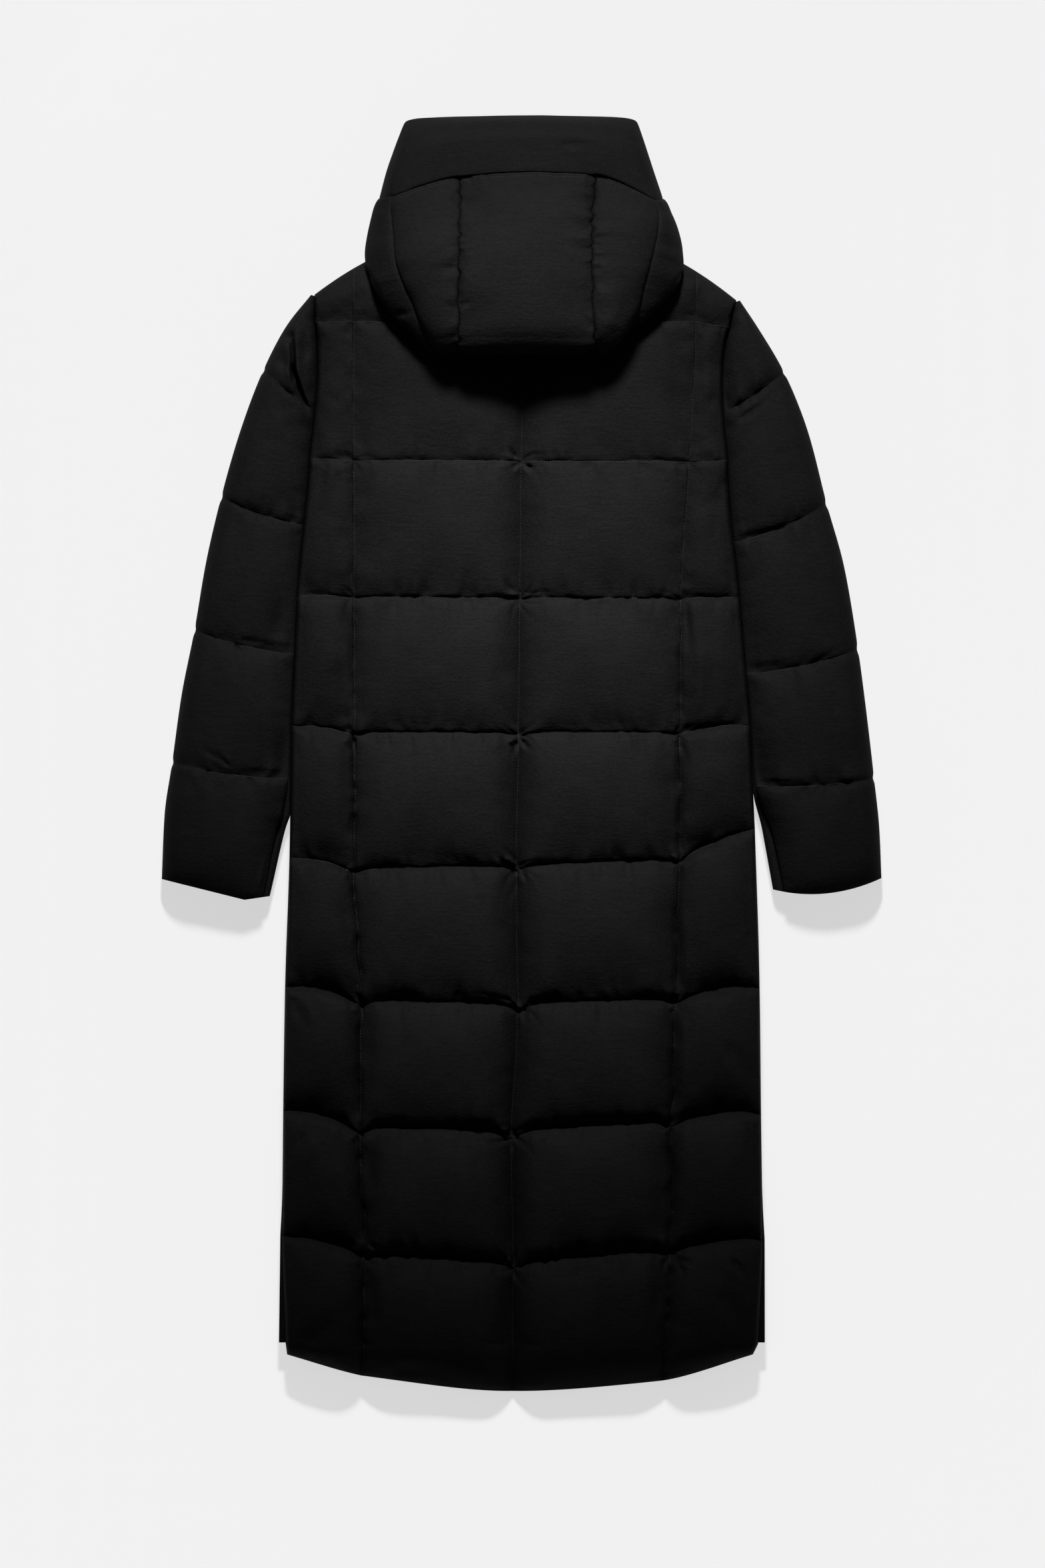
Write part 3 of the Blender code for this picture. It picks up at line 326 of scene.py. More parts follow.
# Unevenness in the cloth
ROW_WAVE, ROW_WAVE_LENGTH, ROW_WAVE_REACH = 0.5, 7, 4  # how a row wanders up and down
RAGGED_EDGE = 1.9  # how unevenly a chamber bulges over the row below it
RAGGED_REACH = 4.5
GATHER_LEAN = 0.25  # how far the gathers lean away from straight
UNDER_ROW_GATHER, SLEEVE_UNDER_ROW_GATHER = 0.9, 0.7  # gathers under a row, as a share of those over it
SEAM_WAVE_LENGTH, SEAM_WAVE_WIDTH = 21, 12
SEAM_WAVE_ROWS = 5  # the long seams wander fully from this row down
CENTRE_FREEDOM = 0.3  # the middle upright wanders this share as far as the long seams
CREASE_SHOULDER = 0.35  # how much of a crease is taken back by a wider ridge
CREASE_RIDGE = 2.2  # how many times as wide that ridge is
CREASE_DEEPENS, CREASE_FADES = 0.18, 0.7  # over these shares of a crease's length
GROOVE_UNEVENNESS, GROOVE_LENGTH = 0.7, 8
GROOVE_START, GROOVE_ROWS = 2, 3  # the groove sets in at this row, over so many rows
DEEPEST_FOLD = 0.6  # as a share of the puff
DEEPEST_SLEEVE_FOLD = 0.85
THINNEST_WALL = 0.6  # as a share of the wall at the stitches
HEM_CALM, EDGE_CALM = 9, 4  # the small folds fade out over these distances at the hem and at the sides
SLEEVE_SEAM_CALM = 6

# Slow unevenness: seed, width, length and depth
Drift = namedtuple("Drift", "seed wide long depth")
BACK_DRIFTS = (Drift(5, 31, 37, 0.6), Drift(6, 13, 17, 0.35))
SLEEVE_DRIFTS = {"left": Drift(300, 27, 33, 0.5), "right": Drift(400, 27, 33, 0.5)}
HOOD_DRIFT = Drift(9, 23, 29, 0.4)
DRIFT_PUFF = 12  # the puff from which the back drifts freely

# The puckers at a crossing: their depth at the shoulder, how much deeper each row has them, and their reach
Pucker = namedtuple("Pucker", "depth growth reach")
CENTRE_PUCKER, SEAM_PUCKER = Pucker(2.4, 0.3, 19), Pucker(1.1, 0.25, 14)
PUCKER_ARMS = 7
PUCKER_PEAK = 0.38  # where an arm is deepest, as a share of its length
PUCKER_WIDTH, PUCKER_WIDENING = 1.1, 0.09  # of an arm at the crossing, and for each millimetre along it
PUCKER_BEND = 0.04
PUCKER_RING, PUCKER_RING_PLACE = 0.35, 0.5  # the raised ring round them: its height and place, as shares

# Thread
STITCH_PITCH = 3.2
STITCH_LENGTH = 2.3
STITCH_THICKNESS = 0.55
STITCH_SINK = 0.12  # how far a stitch is pulled into the fabric
STITCH_STATIONS = ((-0.5, 0.35), (-0.34, 0.9), (0.34, 0.9), (0.5, 0.35))  # place along it, and thickness
STITCH_SIDES = 6

# Finishes
SHELL_COLOUR = (0.0046, 0.0046, 0.0048, 1.0)
THREAD_COLOUR = (0.012, 0.012, 0.0125, 1.0)
WHITE = (1.0, 1.0, 1.0, 1.0)


# ---- Numbers ---------------------------------------------------------------------------------------


def rounded(share):
    """A quarter-round rise from 0 at share 0 to 1 at share 1 and beyond."""
    return np.sqrt(1 - (1 - np.clip(share, 0.0, 1.0)) ** 2)


def eased_step(share):
    """A smooth step from 0 at share 0 to 1 at share 1."""
    share = np.clip(share, 0.0, 1.0)
    return share * share * (3 - 2 * share)


def bell(distance):
    """A soft bump: 1 at distance 0, and nearly 0 past 2."""
    return np.exp(-(distance**2))


def hump(distance):
    """A bump that starts at 0, stands 1 high at distance 1 and fades slowly."""
    return distance * np.exp(1 - distance)


def shared_slope(one, other):
    """The slope between two steps: none at a turn, and never steep enough to overshoot."""
    same_way = one * other > 0
    return np.where(same_way, 2 * one * other / np.where(same_way, one + other, 1), 0)


def spline(rows, places):
    """The smooth curve through evenly numbered rows of numbers, read at many fractional places."""
    rows, places = np.asarray(rows, float), np.atleast_1d(np.asarray(places, float))
    last = len(rows) - 1
    start = np.clip(places.astype(int), 0, last - 1)
    part = (places - start).reshape((-1,) + (1,) * (rows.ndim - 1))
    steps = np.diff(rows, axis=0)
    step = steps[start]
    leaving = shared_slope(steps[np.maximum(start - 1, 0)], step)
    arriving = shared_slope(step, steps[np.minimum(start + 1, last - 1)])
    bend = 3 * step - 2 * leaving - arriving
    turn = leaving + arriving - 2 * step
    return rows[start] + part * (leaving + part * (bend + part * turn))


def spread(cells, spacings, reach=0.0, finest=1.0):
    """Places along numbered cells of given sizes: evenly apart, or closer together within reach of a
    cell's ends."""
    places = []
    for number, (size, spacing) in enumerate(zip(cells, np.broadcast_to(spacings, len(cells)))):
        ticks = [0.0]
        while ticks[-1] < size / 2:
            near = min(ticks[-1] / reach, 1.0) if reach else 1.0
            ticks.append(ticks[-1] + finest + (spacing - finest) * near)
        half = np.array(ticks[:-1]) / ticks[-1] / 2
        places += list(number + np.concatenate((half, [0.5], 1 - half[:0:-1])))
    return np.array(places + [len(cells)])


def wander(seed, place):
    """A smooth random line between -1 and 1, with a new value at every whole place."""
    knots = np.random.default_rng(seed).uniform(-1, 1, 1024)
    start = np.floor(place).astype(int)
    part = eased_step(place - start)
    return (1 - part) * knots[start % 1024] + part * knots[(start + 1) % 1024]


def drift(kind, x, y):
    """A smooth random surface, up to a depth up and down, with a new value at every width and length."""
    knots = np.random.default_rng(kind.seed).uniform(-1, 1, (64, 64))
    x, y = x / kind.wide, y / kind.long
    column, row = np.floor(x).astype(int), np.floor(y).astype(int)
    across, up = eased_step(x - column), eased_step(y - row)
    low, high = ((1 - across) * knots[line % 64, column % 64] + across * knots[line % 64, (column + 1) % 64]
                 for line in (row, row + 1))
    return kind.depth * ((1 - up) * low + up * high)


def around(net):
    """The sum of the four neighbours of each place in a net."""
    wide = np.pad(net, ((1, 1), (1, 1), (0, 0)), mode="edge")
    return wide[:-2, 1:-1] + wide[2:, 1:-1] + wide[1:-1, :-2] + wide[1:-1, 2:]


def squares(rows, columns):
    """The corners of every square in a net of numbered places."""
    net = np.arange(rows * columns).reshape(rows, columns)
    return np.stack((net[:-1, :-1], net[1:, :-1], net[1:, 1:], net[:-1, 1:]), -1).reshape(-1, 4).tolist()


def meshed(name, points, faces):
    """A mesh from points in metres."""
    mesh = bpy.data.meshes.new(name)
    mesh.from_pydata(points.tolist(), [], faces)
    return mesh


def added(name, data):
    """A new object in the scene."""
    thing = bpy.data.objects.new(name, data)
    scene.collection.objects.link(thing)
    return thing


# ---- Folds in padded cloth -------------------------------------------------------------------------


def gathered(seed, kinds, along, away):
    """How far the fabric beside a row of stitches is pulled in and out by its gathers."""
    height = np.zeros(np.broadcast(along, away).shape)
    for number, kind in enumerate(kinds):
        distance = np.maximum(away, 0) / kind.reach
        lean = along + GATHER_LEAN * away * wander(seed + 40 + number, along / (4 * kind.pitch))
        height += kind.depth * wander(seed + number, lean / kind.pitch) * hump(distance)
    return height


def creased(x, y, creases):
    """How far the fabric is pushed down by creases, or up by ridges."""
    height = np.zeros(x.shape)
    for x0, y0, x1, y1, width, depth, bow in creases:
        run = np.array((x1 - x0, y1 - y0), float)
        length = np.linalg.norm(run)
        along = ((x - x0) * run[0] + (y - y0) * run[1]) / length**2
        near = (along > 0) & (along < 1)
        part = along[near]
        away = ((y[near] - y0) * run[0] - (x[near] - x0) * run[1]) / length
        away = (away - bow * 4 * part * (1 - part)) / width
        fade = eased_step(part / CREASE_DEEPENS) * eased_step((1 - part) / CREASE_FADES)
        dip = (bell(away) - CREASE_SHOULDER * bell(away / CREASE_RIDGE)) / (1 - CREASE_SHOULDER)
        height[near] -= depth * fade * dip
    return height


def puckered(seed, x, y, reach, depth):
    """The small radiating creases where two rows of stitches cross, at (0, 0)."""
    random = np.random.default_rng(seed)
    distance = np.hypot(x, y)
    height = np.zeros(x.shape)
    near = distance < 3 * reach
    x, y, distance = x[near], y[near], distance[near]
    total = np.zeros(x.shape)
    for arm in range(PUCKER_ARMS):
        angle = 2 * math.pi * (arm + random.uniform(-0.3, 0.3)) / PUCKER_ARMS
        length = reach * random.uniform(0.5, 1.1)
        along = x * math.cos(angle) + y * math.sin(angle)
        away = y * math.cos(angle) - x * math.sin(angle)
        away = away + PUCKER_BEND * random.uniform(-1, 1) * along**2
        part = np.maximum(along, 0) / (PUCKER_PEAK * length)
        width = PUCKER_WIDTH + PUCKER_WIDENING * np.maximum(along, 0)
        total -= depth * random.uniform(0.5, 1) * hump(part) * bell(away / width)
    height[near] = total + PUCKER_RING * depth * hump(distance / (PUCKER_RING_PLACE * reach))
    return height


def settled(net, held):
    """How far loose padded fabric moves between its stitches, by Blender's cloth simulation: the fabric is
    a little larger than its place, so that it buckles. The slow swell is taken out again."""
    start = net.copy()
    random = np.random.default_rng(held.size)
    start[..., 2] += np.where(held, 0, random.normal(0, SETTLING_UNEVENNESS, held.shape))
    mesh = meshed("settling", start.reshape(-1, 3) * SETTLING_SCALE, squares(*held.shape))
    cloth = added("settling", mesh)
    group = cloth.vertex_groups.new(name="stitched")
    group.add(np.flatnonzero(held).tolist(), 1.0, "REPLACE")
    modifier = cloth.modifiers.new("settling", "CLOTH")
    settings = modifier.settings
    settings.vertex_group_mass = "stitched"
    settings.bending_stiffness = 0.5
    settings.use_pressure = True
    settings.uniform_pressure_force = 6.0
    settings.shrink_min = settings.shrink_max = -SETTLING_GROWTH
    settings.effector_weights.gravity = 0.0
    modifier.collision_settings.use_collision = False
    modifier.point_cache.frame_start, modifier.point_cache.frame_end = 1, SETTLING_FRAMES
    scene.frame_start, scene.frame_end = 1, SETTLING_FRAMES
    for number in range(1, SETTLING_FRAMES + 1):
        scene.frame_set(number)
    shape = cloth.evaluated_get(bpy.context.evaluated_depsgraph_get()).data
    places = np.empty(len(shape.vertices) * 3)
    shape.vertices.foreach_get("co", places)
    moved = places.reshape(net.shape) / SETTLING_SCALE - net
    scene.frame_set(1)
    bpy.data.objects.remove(cloth)
    bpy.data.meshes.remove(mesh)
    slow = moved.copy()
    for _ in range(SWELL_ROUNDS):
        slow = around(slow) / 4
        slow[held] = 0
    moved = moved - SWELL_SHARE * slow
    moved = (4 * moved + around(moved)) / 8 * SETTLED_SHARE
    moved[held] = 0
    length = np.linalg.norm(moved, axis=2, keepdims=True)
    return moved * np.minimum(1, SETTLING_LIMIT / np.maximum(length, 1e-6))


def carried_over(values, old_rows, old_columns, rows, columns):
    """A coarse lattice of values read smoothly at the places of a fine one."""
    for axis, (old, new) in enumerate(((old_rows, rows), (old_columns, columns))):
        place = np.interp(new, old, np.arange(len(old)))
        start = np.clip(place.astype(int), 0, len(old) - 2)
        part = (place - start).reshape((-1, 1, 1) if axis == 0 else (1, -1, 1))
        before, after = np.maximum(start - 1, 0), np.minimum(start + 2, len(old) - 1)
        a, b, c, d = (np.take(values, index, axis=axis) for index in (before, start, start + 1, after))
        values = b + part / 2 * (c - a + part * (2 * a - 5 * b + 4 * c - d + part * (3 * (b - c) + d - a)))
    return values


# ---- The back --------------------------------------------------------------------------------------

# A place on the back is u, v: u counts its uprights from the left, and v its rows from the shoulder down.
CELL_WIDTHS = (66, 174, 168, 75)
CELL_LENGTHS = (60, 146, 143, 142, 141, 143, 137, 135, 92, 45)


def shoulder_y(x):
    """The shoulder seams, falling from the neck points, with the neck scooped out between them."""
    x = np.asarray(x, float)
    run = np.abs(x - NECK_MIDDLE) - NECK_HALF_WIDTH
    across = np.abs(x - NECK_MIDDLE) / NECK_HALF_WIDTH
    neck = NECK_POINT_Y - NECK_SCOOP * (1 - across**2)
    slopes = []
    for tip_x, tip_y in SHOULDER_TIP.values():
        part = np.maximum(run, 0) / (abs(tip_x - NECK_MIDDLE) - NECK_HALF_WIDTH)
        slopes.append(NECK_POINT_Y - (NECK_POINT_Y - tip_y) * part**SHOULDER_BEND)
    return np.where(run < 0, neck, np.where(x < NECK_MIDDLE, *slopes))


def back_uprights(vs):
    """x of the five uprights of the back at many places down it."""
    across = spline([[place[0] for place in line.places] for line in BACK_LINES], vs)
    share = np.clip(vs - 1, 0, 1)
    hollow = np.sin(math.pi * share**0.7)
    across[:, 0] += ARMHOLE_HOLLOW["left"] * hollow
    across[:, -1] -= ARMHOLE_HOLLOW["right"] * hollow
    return across


def crossings(number):
    """x of the five uprights where they cross a row of quilting."""
    return back_uprights(np.array([float(number)]))[0]


def row_y(number, us, x):
    """y of a row of quilting: it drops where an upright crosses it."""
    line = BACK_LINES[number]
    heights = [place[1] for place in line.places]
    if number == 0:
        return shoulder_y(x)
    if line.name == "hem":
        return np.broadcast_to(spline(heights, us), x.shape)
    straight = np.broadcast_to(np.interp(us, range(len(heights)), heights), x.shape)
    if not line.sag:
        return straight
    nearest = np.abs(x[..., None] - crossings(number)).min(axis=-1)
    return straight + line.sag * (1 - bell(nearest / SAG_WIDTH))


def chamber(share, length, line, next_line):
    """How full a chamber is from its upper stitches, at share 0, to its lower ones."""
    share = np.clip(share, 0.0, 1.0)
    upper, lower = rounded(share * length / UPPER_ROLL), rounded((1 - share) * length / line.low_roll)
    roll = np.where(share < 0.5, UPPER_ROLL_SHARE * line.roll, line.roll)
    full = roll * np.minimum(upper, lower) + (1 - roll) * 4 * share * (1 - share)
    kept = (1 - share) * line.kept + share * next_line.kept
    return kept + (1 - kept) * full


def back_form(us, vs):
    """The back without its small folds: x and y, how far the quilting stands above its stitches, and the
    distances up and down to the nearest rows."""
    uprights = back_uprights(vs)
    cell = np.clip(us.astype(int), 0, 3)
    part = us - cell
    x = (1 - part) * uprights[:, cell] + part * uprights[:, cell + 1]
    y, below_row, above_row, lengthways, bulge = (np.zeros_like(x) for _ in range(5))
    numbers = np.minimum(vs.astype(int), len(BACK_LINES) - 2)
    beside = rounded(SIDE_HOLLOW_ENDS * np.minimum(part, 1 - part)) * ((us < 1) | (us > 3))
    for number in range(len(BACK_LINES) - 1):
        here = numbers == number
        if not here.any():
            continue
        share = (vs[here] - number)[:, None]
        high, low = row_y(number, us, x[here]), row_y(number + 1, us, x[here])
        y[here] = (1 - share) * high + share * low
        below, above = high - y[here], y[here] - low
        line = BACK_LINES[min(number, LAST_CHAMBER)]
        if number < LAST_CHAMBER:
            next_line = BACK_LINES[number + 1]
            bulge[here] = line.overhang * eased_step(share / OVERHANG_PLACE) * (1 - share) * 3
            crown = chamber(share, CELL_LENGTHS[number], line, next_line)
            depth = SIDE_HOLLOWS[number] * next_line.kept
            crown = crown - depth * beside * bell(above / HOLLOW_ABOVE)
            crown = crown * (1 - SIDE_SLOPES[number] * beside * share**2)
        else:
            place = FRONT_HEM_PLACE * share
            above = y[here] - row_y(len(BACK_LINES) - 1, us, x[here])
            if number > LAST_CHAMBER:
                place = FRONT_HEM_PLACE + (1 - FRONT_HEM_PLACE) * share
                below = row_y(LAST_CHAMBER, us, x[here]) - y[here]
            crown = np.sqrt(1 - (1 - HEM_FULLNESS**2) * (2 * place - 1) ** 2)
            upper = chamber(place, sum(CELL_LENGTHS[LAST_CHAMBER:]), line, line)
            crown = np.where(place < 0.5, upper, crown)
        if number <= LAST_CHAMBER:
            depth = SIDE_HOLLOWS[number - 1] * line.kept
            crown = crown - depth * beside * bell(below / HOLLOW_BELOW)
        below_row[here], above_row[here] = below, above
        lengthways[here] = line.puff * np.maximum(crown, 0)
    edge = np.minimum(np.abs(x - uprights[:, :1]), np.abs(x - uprights[:, -1:]))
    across = EDGE_LIP * rounded(edge / EDGE_LIP_REACH) + (1 - EDGE_LIP) * np.sin(
        math.pi / 2 * np.minimum(edge / EDGE_ROUND, 1))
    for place, hollow in UPRIGHTS.items():
        past = x - uprights[:, place : place + 1]
        distance = np.where(past < 0, -past / hollow.left, past / hollow.right)
        depth = hollow.depth * spline(UPRIGHT_STRENGTH, vs - 0.5)[:, None]
        across = across * (1 - depth * np.clip(1 - distance, 0, 1) ** 2)
        groove = hollow.groove * (1 + GROOVE_UNEVENNESS * wander(70 + place, y / GROOVE_LENGTH))
        groove = groove * eased_step((vs - GROOVE_START) / GROOVE_ROWS)[:, None]
        across = across * (1 - groove * bell(past / GROOVE_WIDTH))
    return x, y - bulge * across, lengthways * across, below_row, above_row, uprights


def back_inner(us, vs, x):
    """The height of the back's underside, which falls to the floor past the fronts."""
    past = (vs - (LAST_CHAMBER + 1))[:, None]
    overhang = BACK_LINES[LAST_CHAMBER + 1].places[2][1] - row_y(len(BACK_LINES) - 1, us, x)
    lying = SIDE_SEAM_HEIGHT + SEAM_GAP
    return lying - np.minimum(lying, HEM_DROP * overhang) * np.clip(past, 0, 1) ** 2


class Back:
    """The back's fine surface, and any place on it."""

    def __init__(self):
        self.rough_us, self.rough_vs = spread(CELL_WIDTHS, ROUGH_STEP), spread(CELL_LENGTHS, ROUGH_STEP)
        net = np.stack(back_form(self.rough_us, self.rough_vs)[:3], -1)
        on_row = np.isclose(self.rough_vs, np.round(self.rough_vs)) & (self.rough_vs != LAST_CHAMBER + 1)
        on_upright = np.isclose(self.rough_us, np.round(self.rough_us))
        self.folds = settled(net, on_row[:, None] | on_upright[None, :])

    def surface(self, us, vs):
        """The outer and inner nets at the given places."""
        x, y, puff, below_row, above_row, uprights = back_form(us, vs)
        number = np.minimum(vs.astype(int), LAST_CHAMBER)[:, None]
        strength = np.array(GATHER_STRENGTH)[number]
        small = np.zeros_like(x)
        for row in range(LAST_CHAMBER + 1):
            here = number[:, 0] == row
            if row:
                small[here] += UNDER_ROW_GATHER * gathered(100 * row, ROW_GATHERS, x[here], below_row[here])
            if row < LAST_CHAMBER:
                small[here] += gathered(100 * row + 10, ROW_GATHERS, x[here], above_row[here])
        small *= strength
        wave = np.zeros_like(x)
        for place in UPRIGHTS:
            past = x - uprights[:, place : place + 1]
            kinds = UPRIGHT_GATHERS if place == 2 else SEAM_GATHERS
            for side in (-1, 1):
                small += (side * past >= 0) * gathered(1000 * place + side, kinds, y, side * past)
            freedom = CENTRE_FREEDOM if place == 2 else 1.0
            wave += freedom * wander(80 + place, y / SEAM_WAVE_LENGTH) * bell(past / SEAM_WAVE_WIDTH)
        wave *= UPRIGHT_WAVE * np.minimum(vs / SEAM_WAVE_ROWS, 1)[:, None]
        small += creased(x, y, BACK_CREASES)
        for row in range(1, LAST_CHAMBER + 1):
            for place in UPRIGHTS:
                at_x, at_y = crossings(row)[place], BACK_LINES[row].places[place][1]
                kind = CENTRE_PUCKER if place == 2 else SEAM_PUCKER
                depth = YOKE_PUCKER if row == 1 else kind.depth + kind.growth * row
                small += puckered(50 * row + place, x - at_x, y - at_y, kind.reach, depth)
        edge = np.minimum(x - uprights[:, :1], uprights[:, -1:] - x)
        small += gathered(7000, UPRIGHT_GATHERS, y, edge)
        for kind in BACK_DRIFTS:
            small += drift(kind, x, y) * np.minimum(puff / DRIFT_PUFF, 1)
        small *= np.where(number == LAST_CHAMBER, eased_step(above_row / HEM_CALM), 1)
        small *= eased_step(edge / EDGE_CALM)
        small = np.where(np.minimum(puff, small + puff) < 0, -DEEPEST_FOLD * puff, small)
        folds = carried_over(self.folds, self.rough_vs, self.rough_us, vs, us)
        wobble = ROW_WAVE * wander(61, x / ROW_WAVE_LENGTH)
        wobble *= bell(np.minimum(below_row, above_row) / ROW_WAVE_REACH)
        ragged = wander(62, x / 13 + 9 * number) + 0.7 * wander(63, x / 31 + 5 * number)
        wobble += RAGGED_EDGE * strength * ragged * hump(np.maximum(above_row, 0) / RAGGED_REACH)
        wobble = np.where((vs[:, None] < 1) | (vs[:, None] > LAST_CHAMBER + 0.5), 0, wobble)
        under = back_inner(us, vs, x)
        wall = np.maximum(STITCHED_WALL + puff + small + folds[..., 2], THINNEST_WALL * STITCHED_WALL)
        outer = np.stack((x + wave + folds[..., 0], y + folds[..., 1] + wobble, under + wall), -1)
        return outer, np.stack((x + wave, y, np.broadcast_to(under, x.shape)), -1)


# ---- The fronts ------------------------------------------------------------------------------------


def front_edge_x(side, y, edges):
    """The side edge of a front, which stands out past the back at the vent."""
    sign = SIGN[side]
    knee_x, knee_y = BACK_LINES[LAST_CHAMBER].places[EDGE_PLACE[side]]
    flare = VENT_FLARE * eased_step((VENT_FLARE_START_Y - y) / VENT_FLARE_LENGTH)
    past = (knee_y - y) / (knee_y - FRONT_HEM_Y)
    hem_x = float(np.interp(FRONT_HEM_Y, *edges[side])) + sign * VENT_FLARE
    knee_flare = VENT_FLARE * eased_step((VENT_FLARE_START_Y - knee_y) / VENT_FLARE_LENGTH)
    straight = (1 - past) * (knee_x + sign * knee_flare) + past * hem_x
    return np.where(y < knee_y, straight, np.interp(y, *edges[side]) + sign * flare)


def front_nets(side, edges):
    """A front's outer and inner nets: an underside that curls up to its seams, and a flat top."""
    sign = SIGN[side]
    tip_x, tip_y = SHOULDER_TIP[side]
    width = abs(tip_x) - PLACKET_HALF_WIDTH
    length = tip_y - FRONT_HEM_Y
    columns = np.concatenate((FRONT_RIM / width, np.linspace(30 / width, 1, FRONT_COLUMNS)))
    inside = np.linspace(24 / length, 1 - 24 / length, FRONT_ROWS)
    rows = np.concatenate((FRONT_RIM / length, inside, (1 - FRONT_RIM / length)[::-1]))
    edge_y = (1 - rows) * tip_y + rows * FRONT_HEM_Y
    edge_x = front_edge_x(side, edge_y, edges)[:, None]
    x = (1 - columns) * edge_x + columns * sign * PLACKET_HALF_WIDTH
    top_y = np.where(columns > 0, shoulder_y(x), tip_y)
    y = (1 - rows[:, None]) * top_y + rows[:, None] * FRONT_HEM_Y
    to_edge = np.minimum(columns * width, np.minimum(rows, 1 - rows)[:, None] * length)
    lift = RIM_LIFT * (1 - rounded(to_edge / RIM_WIDTH))
    pinch = np.zeros_like(y)
    for line in BACK_LINES[1 : LAST_CHAMBER + 1]:
        pinch += bell((y - line.places[EDGE_PLACE[side]][1]) / FRONT_PINCH_WIDTH)
    inward = columns * width
    pinch *= FRONT_PINCH * rounded(inward / FRONT_PINCH_START) * np.exp(-inward / FRONT_PINCH_REACH)
    lift = lift + pinch * (SIDE_SEAM_HEIGHT - 2 - lift)
    top = SIDE_SEAM_HEIGHT - FRONT_TOP_DROP * (1 - rounded(to_edge / FRONT_TOP_ROUND))
    return np.stack((x, y, lift), -1), np.stack((x, y, top), -1)


# ---- The sleeves -----------------------------------------------------------------------------------

# v counts a sleeve's sections from head to cuff, two to a chamber.
SLEEVE_CHAMBERS = 5
SLEEVE_CELL_LENGTH = 128.0
SLEEVE_CELLS = (125,) * SLEEVE_CHAMBERS
SLEEVE_ROW = BACK_LINES[2]._replace(roll=0.3, low_roll=14)
# How much of the puff is left at each end and row of a sleeve, from head to cuff
SLEEVE_KEPT = {"left": (0.7, 0.94, 0.7, 0.66, 0.78, 0.7), "right": (0.7, 0.66, 0.7, 0.72, 0.84, 0.7)}
# How far each chamber sinks where its lower row meets the body, over what length and share of the width
SLEEVE_HOLLOWS = (0, 0.3, 0.5, 0.62, 0.3)
SLEEVE_HOLLOW_LENGTH = 45.0
SLEEVE_HOLLOW_SHARE = 0.6
LEFT_CUFF_CORNER = 0.232  # the share of the cuff's width at which its edge turns a corner


def chambers(vs):
    """Which chamber of a sleeve each place is in, and how far down it."""
    number = np.minimum((vs / 2).astype(int), SLEEVE_CHAMBERS - 1)
    return number, vs / 2 - number


